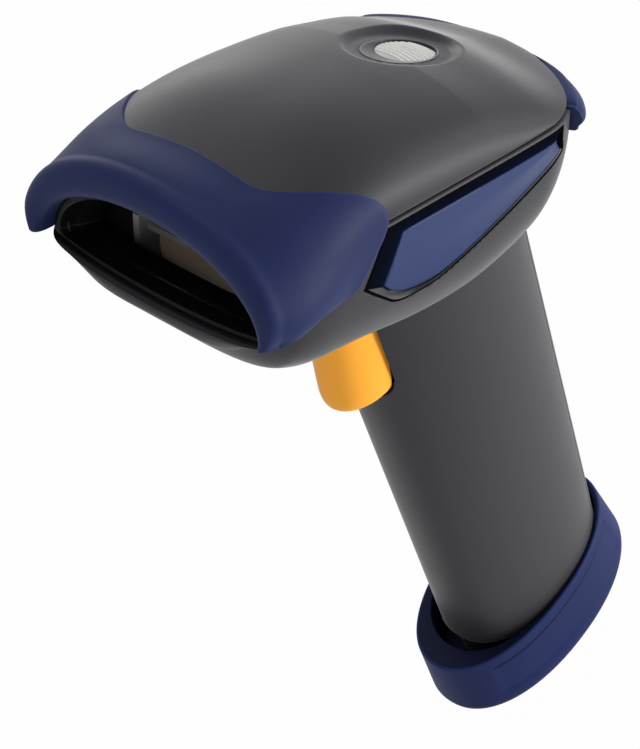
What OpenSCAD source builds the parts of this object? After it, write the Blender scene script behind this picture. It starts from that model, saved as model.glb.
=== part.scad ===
// Handheld pistol-grip barcode scanner standing on the sole of its base boot.
// Z runs up the grip axis, the window faces -Y and X runs across the head.
// The head is drawn in its own frame, with Z = 0 on the seam between dome and tub.

/* [Head] */
// Width of the head across the seam
head_w = 59; // [54:0.5:66]
// Reach of the jaw ahead of the grip axis
head_front = 58; // [54:0.5:64]
// Reach of the rear end behind the grip axis
head_rear = 38; // [35:0.1:42]
// Height of the dome above the seam
dome_h = 14.1; // [13:0.1:16]
// Depth of the tub below the seam
tub_depth = 33; // [31:0.5:36]
// Wall of the shells
wall = 2.4; // [2:0.1:2.8]
// Wall of the tub beside the side panels
side_wall = 4.6; // [4.2:0.1:5.2]
// Backward slope of the head on the grip
rake = 20.6; // [16:0.2:25]

/* [Grip] */
// Height of the seam above the sole, along the grip axis
axis_len = 167.8; // [160:0.2:174]
// Width of the grip at its top
grip_w_top = 31.4; // [30:0.2:34]
// Width of the grip at its foot
grip_w_foot = 27.8; // [27:0.2:29]
// Depth of the grip at its top
grip_d_top = 51.6; // [49:0.2:55]
// Depth of the grip at its foot
grip_d_foot = 44; // [42:0.2:46]
// Wall of the grip
grip_wall = 2.2; // [1.8:0.1:2.6]
// Backward lean of the grip on its sole
lean = 7.3; // [4:0.1:9]

/* [Base boot] */
// Width of the boot
boot_w = 33.6; // [33:0.2:37]
// Reach of the boot ahead of the grip axis
boot_front = 30.1; // [29:0.1:33]
// Reach of the boot behind the grip axis
boot_rear = 29.1; // [27:0.1:31]
// Height of the boot above the floor
boot_h = 20.6; // [19:0.2:23]
// Thickness of the sole plate
sole_t = 2; // [1.6:0.1:2.6]

/* [Nose] */
// Height of the mouth arch above its corners
arch_h = 14.2; // [12:0.2:16]
// Half width of the mouth
mouth_half = 27.5; // [25:0.25:29]
// Depth of the mouth corners below the seam
corner_drop = 12; // [10:0.25:13]
// Thickness of the bumper lip at the top of the arch
lip_t = 7.6; // [6:0.2:9]
// Depth of the bumper's bed in the shells
bumper_bed = 0.9; // [0.7:0.1:1.2]
// How far the nose lip stands ahead of the jaw
lip_reach = 3; // [2:0.25:4]

/* [Trigger] */
// Width of the trigger
trigger_w = 14.9; // [13.5:0.1:16.5]
// Swing of the trigger in degrees, for the drawing
trigger_swing = 0; // [0:0.5:4.5]
// Diameter of the trigger pin
pin_d = 3; // [2.4:0.1:3.6]
// Height of the trigger pin below the seam, along the grip axis
pin_drop = 24; // [23:0.5:25.5]

/* [Scan engine] */
// Width of the engine chassis
engine_w = 33; // [31:0.5:34]
// Length of the engine chassis
engine_len = 40; // [36:0.5:42]
// Width of the scan mirror
mirror_w = 12; // [10:0.5:13]
// Diameter of the mirror spindle
spindle_d = 2; // [1.6:0.1:2.4]
// Diameter of the laser barrel
laser_d = 8; // [7:0.25:9]

/* [Fits] */
// Radial clearance of a turning shaft in its bore
run_fit = 0.06; // [0.03:0.01:0.1]
// Clearance of a screw or a plug-in piece in its seat
seat_fit = 0.1; // [0.05:0.01:0.2]
// Clearance between pieces that move past each other
slide_fit = 0.4; // [0.3:0.05:0.6]

/* [Hidden] */
$fn = 32;
bezel_tilt = 12;
rear_power = 2.1;
rear_start = 0.42;
grip_power = 2.2;
boot_power = 2.15;
// Relative half width, dome squareness and height, tub depth and squareness along the head, nose to tail
width_line = [[-1, 0.9], [-0.86, 0.955], [-0.7, 0.99], [-0.3, 1], [0.3, 1], [1, 0.97]];
dome_square = [[-1, 1.9], [-0.82, 2.4], [-0.5, 2.6], [0.1, 2.25], [0.55, 1.6], [1, 1.3]];
dome_line = [[-1, 0.5], [-0.82, 0.76], [-0.5, 1], [-0.17, 0.965], [0.18, 0.775], [0.45, 0.625], [0.75, 0.27],
    [1, 0.12]];
tub_line = [[-1, 0.545], [-0.93, 0.69], [-0.86, 0.78], [-0.7, 0.855], [-0.5, 0.91], [-0.25, 0.985], [0, 1],
    [0.4, 0.92], [0.7, 0.76], [1, 0.54]];
tub_square = [[-1, 3.8], [-0.86, 4.8], [-0.6, 4.2], [0.1, 3.8], [1, 2.6]];
jaw_bow = 3.5;
jaw_y = -head_front;
bed_y = jaw_y + 2.5;
lip_y = jaw_y - lip_reach;
seam_angle = 25;
bumper_low = corner_drop - 0.7;
edge_raise = 0.5;
hood_y = jaw_y + 0.5;
hood_power = 2.2;
hood_half = mouth_half + 4.5;
hood_low = 0.6 - corner_drop;
hood_rise = arch_h + lip_t - 0.6;
hood_tuck = 1.8;
tuck_turn = 16;
bed_turn = 7.5;
lip_round = 0.4 * lip_t;
// Rear edge of the nose bumper from a mouth corner (0) by the seam (25) and the notch (70) to the top (90)
nose_edge = [[0, 0.73], [3, 0.64], [6, 0.612], [15, 0.557], [25, 0.509], [32, 0.522], [39, 0.56], [47, 0.625],
    [54, 0.695], [61, 0.77], [67, 0.818], [70, 0.829], [75, 0.831], [90, 0.82]];
rear_hub = 10;
rear_turn = 69;
rear_mid = -1.4;
rear_low = 4.9;
rear_high = 2.4;
rear_end = 0.14;
rear_proud = 2.2;
rear_fade = 0.4;
panel_front = 24;
panel_sweep = 4.5;
panel_rear = 20.4;
panel_top = 4.4;
panel_drop = 18.2;
panel_bevel = 2.6;
bevel_sweep = 1.3;
panel_line = 0.7;
panel_chin = 1.8;
chin_end = 0.35;
panel_sink = 1;
panel_floor = head_w / 2 - 3.6;
panel_low = [[0, -0.76], [0.06, -0.9], [0.14, -0.98], [0.28, -1], [0.42, -0.9], [0.62, -0.72], [0.82, -0.53],
    [1, -0.34]];
window_y = jaw_y + 9;
window_t = 1.6;
mouth_mid = (window_y + jaw_y) / 2;
window_scale = 0.9;
liner_t = 1.2;
jaw_drop = 4.2;
dish_y = 7.2;
dish_half = 11.4;
dish_len = 14.5;
dish_wall = 2.8;
dish_depth = 1.5;
well_half = 6;
well_len = 8.7;
well_depth = 1;
bezel_rim = 1.2;
bezel_proud = 0.25;
lens_half = 4.6;
lens_len = 7.4;
lens_back = 0.8;
lens_rise = 0.6;
rib_pitch = 1.2;
pad_depth = 5;
screw_d = 2.4;
screw_head = 4.6;
small_d = 2;
screw_seat = 20;
boss_r = 3.2;
boss_rise = 7;
post_r = 4.2;
post_gap = 0.05;
screw_x = engine_w / 2 + 5;
screw_spots = [[screw_x, -30], [-screw_x, -30], [20, 6], [-20, 6]];
tongue_y = [-16, 12];
ear_x = engine_w / 2 - 3.5;
rib_x = ear_x - 3;
ear_spots = [[ear_x, -42], [-ear_x, -42], [ear_x, -24], [-ear_x, -24]];
grip_foot = boot_h - 4;
neck_step = 2.4;
neck_floor = 2;
boot_floor = sole_t + 6;
boot_side = 2.4;
boot_toe = 7;
boot_heel = 2.6;
boot_draft = 1;
sole_screw_y = [-14.5, 15];
plug_w = 11.8;
plug_d = 7;
plug_y = -5;
socket_z = boot_floor + neck_floor + 0.8;
cover_turn = 40;
cover_low = 26;
cover_high = axis_len - 33;
board_y = 5;
board_t = 1.6;
board_low = 20;
board_high = axis_len - 33.5;
board_screw_z = [36, 92];
pin_y = -19.5;
pin_z = axis_len - pin_drop;
body_half = 5.6;
pin_len = 2 * body_half + 8;
spring_stop = -8;
trigger_reach = 11;
trigger_low = 33.8;
trigger_curl = 25.4;
trigger_lean = 0.13;
trigger_power = 3.8;
body_back = 0.6;
switch_z = pin_z - 23.5;
plunger_d = 3;
plunger_y = board_y - 8.6;
arm_h = 4;
arm_low = switch_z - pin_z - arm_h / 2;
engine_front = window_y + 2;
engine_z = -20;
engine_rear = engine_front + engine_len;
chassis_t = 1.8;
chassis_wall = 1.5;
deck_t = 1.6;
deck_y = engine_front + 13.5;
deck_z = -8.4;
board_z = 5;
ribbon_w = 8;
ribbon_t = 0.4;
mirror_foot = engine_front + 0.8;
mirror_rise = 15.5;
mirror_top_z = engine_z + 2 + deck_y - deck_t - mirror_foot;
mirror_rail_z = engine_z + 7.3;
detector_x = engine_w / 2 - 8.5;
spindle_x = -6;
spindle_y = engine_front + 25;
beam_z = -2.4;
hub_h = 9.6;
laser_near = 2.5;
laser_len = engine_w / 2 - chassis_wall - laser_near;
coil_near = 6.6;
coil_len = 4;
coil_d = 7;
ribbon_path = [[engine_rear - 2, board_z - 0.3], [0, board_z - 0.3], [6, -12], [17.2, -26]];
shell_grey = [0.28, 0.27, 0.27];
soft_blue = [0.22, 0.26, 0.42];
black = [0.05, 0.05, 0.05];
orange = [1, 0.66, 0.2];
pale = [0.85, 0.85, 0.83];
steel = [0.7, 0.71, 0.72];
brass = [0.8, 0.65, 0.3];
copper = [0.7, 0.4, 0.2];
window_tint = [0.2, 0.05, 0.06, 0.5];
board_green = [0.1, 0.35, 0.2];

// Smooth curve through a list of [station, value] pairs
function slope(p, i) =
    let (a = max(i - 1, 0), b = min(i + 1, len(p) - 1))
    (p[b][1] - p[a][1]) / (p[b][0] - p[a][0]);
function span(p, x, i = 0) = i >= len(p) - 2 || x < p[i + 1][0] ? i : span(p, x, i + 1);
function curve(p, x) =
    let (i = span(p, x), h = p[i + 1][0] - p[i][0], u = min(max((x - p[i][0]) / h, 0), 1))
    (2 * u ^ 3 - 3 * u ^ 2 + 1) * p[i][1] + (u ^ 3 - 2 * u ^ 2 + u) * h * slope(p, i)
    + (3 * u ^ 2 - 2 * u ^ 3) * p[i + 1][1] + (u ^ 3 - u ^ 2) * h * slope(p, i + 1);
function ease(u) = u * u * (3 - 2 * u);
function mix(a, b, u) = a + (b - a) * u;
function bend(c, n) = sign(c) * abs(c) ^ (2 / n);

// Head sections, grown outwards by g
function station(y, g) = y < 0 ? y / head_front : y / (head_rear + g);
function tail(v) =
    v <= rear_start ? 1
    : (1 - min((v - rear_start) / (1 - rear_start), 1) ^ rear_power) ^ (1 / rear_power);
function head_half(y, g) = let (v = station(y, g)) (head_w / 2 * curve(width_line, v) + g) * tail(v);
function dome_top(y, g) = let (v = station(y, g)) (dome_h * curve(dome_line, v) + g) * tail(v) ^ 0.71;
function dome_bend(y, g) = curve(dome_square, station(y, g));
function tub_low(y, g) = let (v = station(y, g)) (tub_depth * curve(tub_line, v) + g) * tail(v) ^ 0.6;
function dome_point(y, a, g) =
    let (n = dome_bend(y, g))
    [head_half(y, g) * bend(cos(a), n), y, dome_top(y, g) * bend(sin(a), n)];
function side_point(y, z, g, side) =
    let (n = curve(tub_square, station(y, g)))
    [side * head_half(y, g) * (1 - min(-z / tub_low(y, g), 1) ^ n) ^ (1 / n), y, z];
function tub_point(y, a, g, inset) =
    let (n = curve(tub_square, station(y, g)), bow = ease(min(max(-y / head_front - 0.75, 0) * 4, 1)))
    [(head_half(y, g) - inset) * bend(cos(a), n), y + jaw_bow * bow * cos(a) ^ 2,
        -tub_low(y, g) * bend(sin(a), n)];
function head_stations(front, rear) = concat(
    [for (i = [8 : -1 : 1]) rear * mix(rear_start, 1, sin(11 * i))],
    [for (i = [0 : 10]) mix(rear * rear_start, -front, i / 10)]);
function dome_ring(y, g, drop) = concat(
    [[head_half(y, g), y, -drop]],
    [for (i = [drop > 0 ? 0 : 1 : drop > 0 ? 20 : 19]) dome_point(y, 9 * i, g)],
    [[-head_half(y, g), y, -drop]]);
function tub_ring(y, g, inset, rise) = concat(
    [[inset - head_half(y, g), y, rise]],
    [for (i = [rise > 0 ? 0 : 1 : rise > 0 ? 18 : 17]) tub_point(y, 180 - 10 * i, g, inset)],
    [[head_half(y, g) - inset, y, rise]]);

// Grip and boot outlines
function oval(w, front, rear, n, count) = [for (i = [0 : count - 1])
    let (a = 360 * i / count)
    [w / 2 * bend(cos(a), n), (sin(a) < 0 ? front : rear) * bend(sin(a), n)]];
function grip_ring(z, g) =
    let (u = z / axis_len)
    [for (p = oval(mix(grip_w_foot, grip_w_top, u) + 2 * g, mix(grip_d_foot, grip_d_top, u) / 2 + g,
        mix(grip_d_foot, grip_d_top, u) / 2 + g, grip_power, 36)) [p[0], p[1], z]];
function boot_ring(z, g) = [for (p = oval(boot_w + 2 * g, boot_front + g, boot_rear + g, boot_power, 40))
    [p[0], p[1], z]];

function middle(ring) = [for (k = [0 : 2]) (min([for (p = ring) p[k]]) + max([for (p = ring) p[k]])) / 2];

// Closed solid through a row of rings that have the same number of points
module loft(rings) {
    n = len(rings);
    m = len(rings[0]);
    last = (n - 1) * m;
    points = concat([for (r = rings) each r], [middle(rings[0]), middle(rings[n - 1])]);
    sides = [for (i = [0 : n - 2], j = [0 : m - 1])
        let (a = i * m + j, b = i * m + (j + 1) % m)
        each [[a, a + m, b], [b, a + m, b + m]]];
    ends = [for (j = [0 : m - 1])
        let (k = (j + 1) % m)
        each [[n * m, j, k], [n * m + 1, last + k, last + j]]];
    polyhedron(points, concat(sides, ends));
}

// Tube between two rows of rings
module band(outer, inner) {
    n = len(outer);
    m = len(outer[0]);
    size = n * m;
    last = (n - 1) * m;
    points = concat([for (r = outer) each r], [for (r = inner) each r]);
    sides = [for (i = [0 : n - 2], j = [0 : m - 1])
        let (a = i * m + j, b = i * m + (j + 1) % m)
        each [[a, a + m, b], [b, a + m, b + m],
            [size + a, size + b, size + a + m], [size + b, size + b + m, size + a + m]]];
    ends = [for (j = [0 : m - 1])
        let (k = (j + 1) % m, c = last + j, d = last + k)
        each [[j, k, size + j], [k, size + k, size + j],
            [c, size + c, d], [d, size + c, size + d]]];
    polyhedron(points, concat(sides, ends));
}

// Skin between two grids of points, closed along all four borders
module skin(outer, inner) {
    n = len(outer);
    m = len(outer[0]);
    size = n * m;
    last = (n - 1) * m;
    points = concat([for (r = outer) each r], [for (r = inner) each r]);
    cells = [for (i = [0 : n - 2], j = [0 : m - 2])
        let (a = i * m + j, b = a + 1, c = a + m, d = c + 1)
        each [[a, c, b], [b, c, d], [size + a, size + b, size + c], [size + b, size + d, size + c]]];
    rows = [for (j = [0 : m - 2])
        let (a = j, b = j + 1, c = last + j, d = last + j + 1)
        each [[a, b, size + a], [b, size + b, size + a], [c, size + c, d], [d, size + c, size + d]]];
    sides = [for (i = [0 : n - 2])
        let (a = i * m, b = a + m, c = a + m - 1, d = c + m)
        each [[a, size + a, b], [b, size + a, size + b], [c, d, size + c], [d, size + d, size + c]]];
    polyhedron(points, concat(cells, rows, sides));
}

// Frames: the grip leans on the sole, and the head slopes on the grip
module in_grip() rotate([-lean, 0, 0]) children();
module on_grip() translate([0, 0, axis_len]) rotate([-rake, 0, 0]) children();
module in_head() in_grip() on_grip() children();

// Nose bumper: its sweep runs from one mouth corner over the arch to the other, 0 to 180 degrees
function nose_side(a) = a <= 90 ? 1 : -1;
function nose_angle(a) = a <= 90 ? a : 180 - a;
function nose_base(y, a, g) =
    let (e = nose_angle(a), p = e < seam_angle
        ? side_point(y, -bumper_low * (1 - e / seam_angle), g, 1)
        : dome_point(y, 90 * (e - seam_angle) / (90 - seam_angle), g))
    [nose_side(a) * p[0], y, p[2]];
function hood_point(y, a, g) =
    [(hood_half + g - hood_tuck * max(1 - nose_angle(a) / tuck_turn, 0) ^ 2) * bend(cos(a), hood_power), y,
        hood_low + (hood_rise + g) * bend(sin(a), hood_power)];
function arch_point(y, a, g) = [(mouth_half + g) * cos(a), y, (arch_h + g) * sin(a) - corner_drop];
function lip_point(a, u) = mix(hood_point(lip_y, a, -lip_round), arch_point(lip_y, a, lip_round), u);
function nose_rear(a) = -head_front * curve(nose_edge, nose_angle(a));
function nose_bed(a) = bumper_bed * min(nose_angle(a) / bed_turn, 1);
function nose_outer(a, gap) =
    let (rear = nose_rear(a) + gap)
    concat(
        [for (u = [0 : 1 / 6 : 1])
            nose_base(mix(rear, hood_y, u), a, edge_raise)
                + ease(u) * (hood_point(hood_y, a, 0) - nose_base(hood_y, a, edge_raise))],
        [hood_point(jaw_y - 0.6 * lip_reach, a, -0.45 * lip_round), lip_point(a, 0.35)]);
function nose_inner(a, gap) =
    let (rear = nose_rear(a) + gap)
    concat(
        [for (u = [0 : 0.25 : 1]) nose_base(mix(rear, bed_y + gap, u), a, -nose_bed(a) - gap)],
        [arch_point(bed_y + gap, a, -5 * gap), arch_point(hood_y, a, -5 * gap)],
        [arch_point(jaw_y - 0.6 * lip_reach, a, 0.45 * lip_round), lip_point(a, 0.65)]);
module nose_form(gap)
    skin([for (a = [180 : -7.5 : 0]) nose_outer(a, gap)], [for (a = [180 : -7.5 : 0]) nose_inner(a, gap)]);

// Rear bumper: its sweep turns about a hub inside the tail, from one side round to the other
function level_half(y, z, g) =
    y >= head_rear + g ? 0
    : z < 0 ? side_point(y, z, g, 1)[0]
    : z >= dome_top(y, g) ? 0
    : let (n = dome_bend(y, g)) head_half(y, g) * (1 - (z / dome_top(y, g)) ^ n) ^ (1 / n);
function tail_reach(a, z, g, near = 0, far = 60, left = 16) =
    let (r = (near + far) / 2)
    left == 0 ? r
    : r * sin(a) < level_half(rear_hub + r * cos(a), z, g) ? tail_reach(a, z, g, r, far, left - 1)
    : tail_reach(a, z, g, near, r, left - 1);
function tail_point(a, z, g) =
    let (r = tail_reach(abs(a), z, g))
    [r * sin(a), rear_hub + r * cos(a), z];
function rear_level(a, u, gap) =
    let (e = max(max(1 - (abs(a) / rear_turn) ^ 6, 0) ^ 0.5, rear_end))
    rear_mid + mix(-rear_low * e - gap, rear_high * e + gap, u);
function rear_swell(a, u) =
    let (swell = 0.15 + 0.85 * sin(180 * min(max(u, 0.15), 0.95)))
    rear_proud * swell * (1 - rear_fade * (abs(a) / rear_turn) ^ 8);
function rear_row(a, gap, lift) = [for (u = [0 : 1 / 6 : 1])
    tail_point(a, rear_level(a, u, gap), lift * rear_swell(a, u) + (lift > 0 ? gap : -bumper_bed - gap))];
module rear_form(gap) {
    turns = [for (i = [-10 : 10]) i / 10 * (rear_turn + gap)];
    skin([for (a = turns) rear_row(a, gap, 1)], [for (a = turns) rear_row(a, gap, 0)]);
}

// Side panel: an outline between a straight top edge and a curved lower edge, u running nose to tail
function panel_edge(u, low, grow, bevel) = low
    ? [mix(-panel_front - panel_sweep - bevel_sweep * bevel, panel_rear, u) - grow * (1 - 2 * u),
        curve(panel_low, u) * panel_drop - grow * (1 + panel_chin * (1 - ease(min(u / chin_end, 1))))]
    : [mix(-panel_front - bevel_sweep * bevel, panel_rear, u), bevel - panel_top];
function panel_loop(grow, bevel) = concat(
    [for (u = [0 : 0.1 : 1]) panel_edge(u, true, grow, bevel)],
    [for (u = [1 : -0.1 : 0]) panel_edge(u, false, grow, bevel)]);
function panel_ring(grow, bevel, sink) = [for (p = panel_loop(grow, bevel)) side_point(p[0], p[1], -sink, 1)];
function panel_back(grow, bevel) = [for (p = panel_loop(grow, bevel)) [panel_floor, p[0], p[1]]];
module panel_pocket(gap) loft([panel_back(panel_line + gap, panel_bevel),
    [for (p = panel_loop(panel_line + gap, panel_bevel)) [head_w, p[0], p[1]]]]);

// Mouth outline, narrowing towards the window
function leaf(y, g) =
    let (k = mix(1, window_scale, (y - jaw_y) / (window_y - jaw_y)))
    [for (i = [0 : 39])
        let (a = 9 * i, rise = sin(a) > 0 ? arch_h : jaw_drop)
        [(mouth_half * k + g) * cos(a), y, (rise * k + g) * sin(a) - corner_drop]];

// Housing
module upper_shell() color(shell_grey) in_head() difference() {
    union() {
        difference() {
            loft([for (y = head_stations(-bed_y, head_rear)) dome_ring(y, 0, 0)]);
            loft([for (y = head_stations(1 - bed_y, head_rear - wall)) dome_ring(y, -wall, 1)]);
        }
        intersection() {
            loft([for (y = head_stations(-bed_y, head_rear)) dome_ring(y, -0.2, 0)]);
            on_dish() loft([dish_ring(-pad_depth, 1.2), dish_ring(4, 1.2)]);
            translate([-head_w, -head_front, 0]) cube(2 * head_w);
        }
        for (p = screw_spots) dome_boss(p);
        for (side = [-1, 1], y = tongue_y) dome_tongue(side, y);
    }
    nose_form(seat_fit);
    rear_form(seat_fit);
    on_dish() {
        loft([dish_ring(-dish_depth, -dish_wall), dish_ring(0.5, 0), dish_ring(4, 1)]);
        loft([well_ring(-pad_depth - 1, bezel_rim + seat_fit), well_ring(1, bezel_rim + seat_fit)]);
    }
    for (p = screw_spots) translate([p[0], p[1], -1]) bore(screw_d, boss_rise);
}

// Ovals of the dish, its well and the lens, in the dish's own frame
function level(points, z, back) = [for (p = points) [p[0], p[1] + back, z]];
function dish_ring(z, g) = level(oval(2 * (dish_half + g), dish_len + g, dish_len + g, 2, 40), z, 0);
function well_ring(z, g) = level(oval(2 * (well_half + g), well_len + g, well_len + g, 2, 40), z, 0);
function lens_ring(z, g) = level(oval(2 * (lens_half + g), lens_len + g, lens_len + g, 2, 40), z, lens_back);

// Clearance hole of a screw
module bore(d, h) cylinder(d = d + 2 * seat_fit, h = h, $fn = 20);
module on_dish() translate([0, dish_y, dome_top(dish_y, 0)]) rotate([-bezel_tilt, 0, 0]) children();

// A screw boss under the dome with a web to the wall
module dome_boss(p) intersection() {
    hull() {
        translate([p[0], p[1], 0]) cylinder(r = boss_r, h = dome_h, $fn = 24);
        translate([p[0] + 4 * sign(p[0]), p[1], 0]) cylinder(r = 0.8, h = dome_h, $fn = 12);
    }
    loft([for (y = head_stations(-bed_y, head_rear)) dome_ring(y, -0.6, 0)]);
}

// A tongue that drops from the dome behind the tub's wall
module dome_tongue(side, y) intersection() {
    hull() {
        translate([side * (head_w / 2 - side_wall - 1.6) - 0.6, y, 0]) cube([1.2, 7, 9]);
        translate([side * (head_w / 2 - side_wall - 1.4) - 0.5, y + 1, -4]) cube([1, 5, 1]);
    }
    loft([for (y = head_stations(-bed_y, head_rear)) dome_ring(y, -0.6, 6)]);
}

module tub_solid(g, inset, rise) on_grip()
    loft([for (y = head_stations(head_front + rise, head_rear + g)) tub_ring(y, g, inset, rise)]);
module grip_solid(g, low, high) loft([grip_ring(low, g), grip_ring(high, g)]);
module neck_solid(g, low) multmatrix([[1, 0, 0, 0], [0, 1, 0, 0], [0, tan(lean), 1, 0], [0, 0, 0, 1]])
    grip_solid(-neck_step + g, low / cos(lean), grip_foot + 6);
module housing_form(g) {
    tub_solid(g, 0, 0);
    grip_solid(g, grip_foot, axis_len - 12);
    neck_solid(g, boot_floor - g);
}

module lower_housing() color(shell_grey) in_grip() difference() {
    union() {
        difference() {
            housing_form(0);
            tub_solid(-wall, side_wall - wall, 1);
            grip_solid(-grip_wall, grip_foot + 3, axis_len - 6);
            neck_solid(-grip_wall, boot_floor + neck_floor);
        }
        intersection() {
            housing_form(-0.6);
            union() {
                on_grip() for (p = screw_spots) tub_post(p);
                on_grip() for (p = ear_spots) engine_post(p);
                for (z = board_screw_z) translate([0, -grip_d_top / 2, z]) rotate([-90, 0, 0])
                    cylinder(r = 3, h = grip_d_top / 2 + board_y, $fn = 20);
                rotate([lean, 0, 0]) for (y = sole_screw_y) translate([0, y, boot_floor - 4])
                    cylinder(r = 3.2, h = 20, $fn = 20);
                for (side = [-1, 1]) translate([side * (pin_len / 2 - 1.5) - 1.5, pin_y - 5, pin_z - 2.6])
                    cube([3, 10, 6.6]);
                translate([-grip_w_top / 2, spring_stop, pin_z - 18]) cube([grip_w_top, 2, 8]);
            }
        }
    }
    on_grip() {
        nose_form(seat_fit);
        rear_form(seat_fit);
        loft([for (y = [window_y + window_t + slide_fit, mouth_mid, jaw_y - 4]) leaf(y, seat_fit)]);
        for (side = [0, 1]) mirror([side, 0, 0]) panel_pocket(seat_fit);
        for (p = screw_spots) translate([p[0], p[1], 0]) {
            translate([0, 0, -tub_depth - 1]) bore(screw_head + 0.4, tub_depth + 1 - screw_seat);
            translate([0, 0, -tub_depth]) bore(screw_d, tub_depth + 1);
        }
        for (p = ear_spots) translate([p[0], p[1], engine_z - 5]) bore(small_d, 6);
    }
    on_pin() {
        trigger_form(0.5, 6, 2);
        translate([-body_half - 0.6, -9, -30]) cube([2 * body_half + 1.2, 14.5, 34.5]);
    }
    translate([-20, pin_y, pin_z]) rotate([0, 90, 0]) cylinder(d = pin_d + 2 * seat_fit, h = 40, $fn = 24);
    cover_form(seat_fit, 1);
    for (z = board_screw_z) translate([0, board_y - 10, z]) rotate([-90, 0, 0]) bore(small_d, 11);
    rotate([lean, 0, 0]) for (y = sole_screw_y) translate([0, y, 0]) bore(screw_d, 22);
    plug_way();
}

// A post in the tub for a housing screw, with a web to the wall
module tub_post(p) hull() {
    post_h = tub_depth - post_gap;
    translate([p[0], p[1], -tub_depth]) cylinder(r = post_r, h = post_h, $fn = 24);
    translate([p[0] + 4.5 * sign(p[0]), p[1], -tub_depth]) cylinder(r = 1, h = post_h, $fn = 12);
}

// A tapered post under a screw of the engine chassis
module engine_post(p) hull() {
    translate([p[0], p[1], engine_z - 1]) cylinder(r = 2.8, h = 1, $fn = 20);
    translate([p[0], p[1], -tub_depth]) cylinder(r = 4, h = 1, $fn = 20);
}

// Way for the cable's plug through sole, boot and neck
module plug_way() translate([-plug_w / 2 - 0.5, plug_y - plug_d / 2 - 0.5, -4])
    cube([plug_w + 1, plug_d + 1, socket_z + 4]);

module cover_form(gap, proud) {
    turns = [for (i = [0 : 8]) mix(90 - cover_turn - gap, 90 + cover_turn + gap, i / 8)];
    levels = [cover_low - gap, cover_high + gap];
    skin(
        [for (z = levels) [for (a = turns) grip_point(z, a, proud)]],
        [for (z = levels) [for (a = turns) grip_point(z, a, -grip_wall - gap)]]);
}
function grip_point(z, a, g) =
    let (u = z / axis_len)
    [(mix(grip_w_foot, grip_w_top, u) / 2 + g) * bend(cos(a), grip_power),
        (mix(grip_d_foot, grip_d_top, u) / 2 + g) * bend(sin(a), grip_power), z];

module grip_back_cover() color(shell_grey) in_grip() cover_form(0, 0);
module nose_bumper() color(soft_blue) in_head() nose_form(0);
module rear_bumper() color(soft_blue) in_head() rear_form(0);
module side_panel(side) color(soft_blue) in_head() mirror([side, 0, 0])
    loft([panel_back(0, 0), panel_ring(0, 0, panel_sink)]);
module panel_frame(side) color(black) in_head() mirror([side, 0, 0])
    band([panel_back(panel_line, panel_bevel), panel_ring(panel_line, panel_bevel, 0.2)],
        [panel_back(seat_fit, seat_fit), panel_ring(seat_fit, seat_fit, panel_sink)]);
module side_panel_right() side_panel(0);
module side_panel_left() side_panel(1);
module panel_frame_right() panel_frame(0);
module panel_frame_left() panel_frame(1);

// Base
module base_boot() color(soft_blue) difference() {
    loft([for (p = [[sole_t, -1.2], [sole_t + 1, 0], [sole_t + 2.6, 0.3], [boot_h - 1, -boot_draft],
        [boot_h, -boot_draft - 0.6]])
        boot_ring(p[0], p[1])]);
    translate([0, 0, boot_floor]) linear_extrude(boot_h)
        polygon(oval(boot_w - 2 * boot_side, boot_front - boot_toe, boot_rear - boot_heel, boot_power, 40));
    in_grip() plug_way();
    for (y = sole_screw_y) translate([0, y, 0]) bore(screw_d, boot_h);
}

module sole_plate() color(black) difference() {
    linear_extrude(sole_t) polygon(oval(boot_w - 5, boot_front - 2.5, boot_rear - 2.5, boot_power, 40));
    in_grip() plug_way();
    for (y = sole_screw_y) translate([0, y, -1]) {
        bore(screw_d, sole_t + 2);
        bore(screw_head, 2.2);
    }
}

// Mouth
module mouth_liner() color(black) in_head()
    band([for (y = [window_y, mouth_mid, bed_y + 1]) leaf(y, 0)],
        [for (y = [window_y, mouth_mid, bed_y + 1]) leaf(y, -liner_t)]);
module scan_window() color(window_tint) in_head()
    loft([leaf(window_y + window_t, -0.3), leaf(window_y, -0.3)]);

// Indicator
module indicator_bezel() color(shell_grey) in_head() on_dish() band(
    [well_ring(1 - pad_depth, bezel_rim), well_ring(-dish_depth, bezel_rim),
        well_ring(bezel_proud - dish_depth, bezel_rim - bezel_proud)],
    [lens_ring(1 - pad_depth, seat_fit), lens_ring(-dish_depth - well_depth, seat_fit),
        well_ring(bezel_proud - dish_depth, 0)]);
module indicator_lens() color(pale) in_head() on_dish() translate([0, 0, -dish_depth - well_depth]) difference() {
    loft([lens_ring(dish_depth + well_depth + 1 - pad_depth, 0), lens_ring(-0.1, 0), lens_ring(lens_rise / 2, -0.5),
        lens_ring(lens_rise, -2)]);
    for (y = [-5 : 5]) translate([-lens_half, y * rib_pitch + lens_back - rib_pitch / 6, 0.1])
        cube([2 * lens_half, rib_pitch / 3, lens_rise + 1]);
}
module indicator_board() color(board_green) in_head() on_dish() {
    translate([0, 0, -pad_depth - 1.2]) cylinder(r = lens_len + 2, h = 1.2);
    translate([-1.6, -1.4, -pad_depth]) cube([3.2, 2.8, 0.9]);
}
module beeper() color(black) in_head() on_dish() translate([0, 0, -pad_depth - 5.2]) difference() {
    cylinder(r = 4.6, h = 4);
    translate([0, 0, -1]) cylinder(r = 0.8, h = 2);
}

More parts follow.
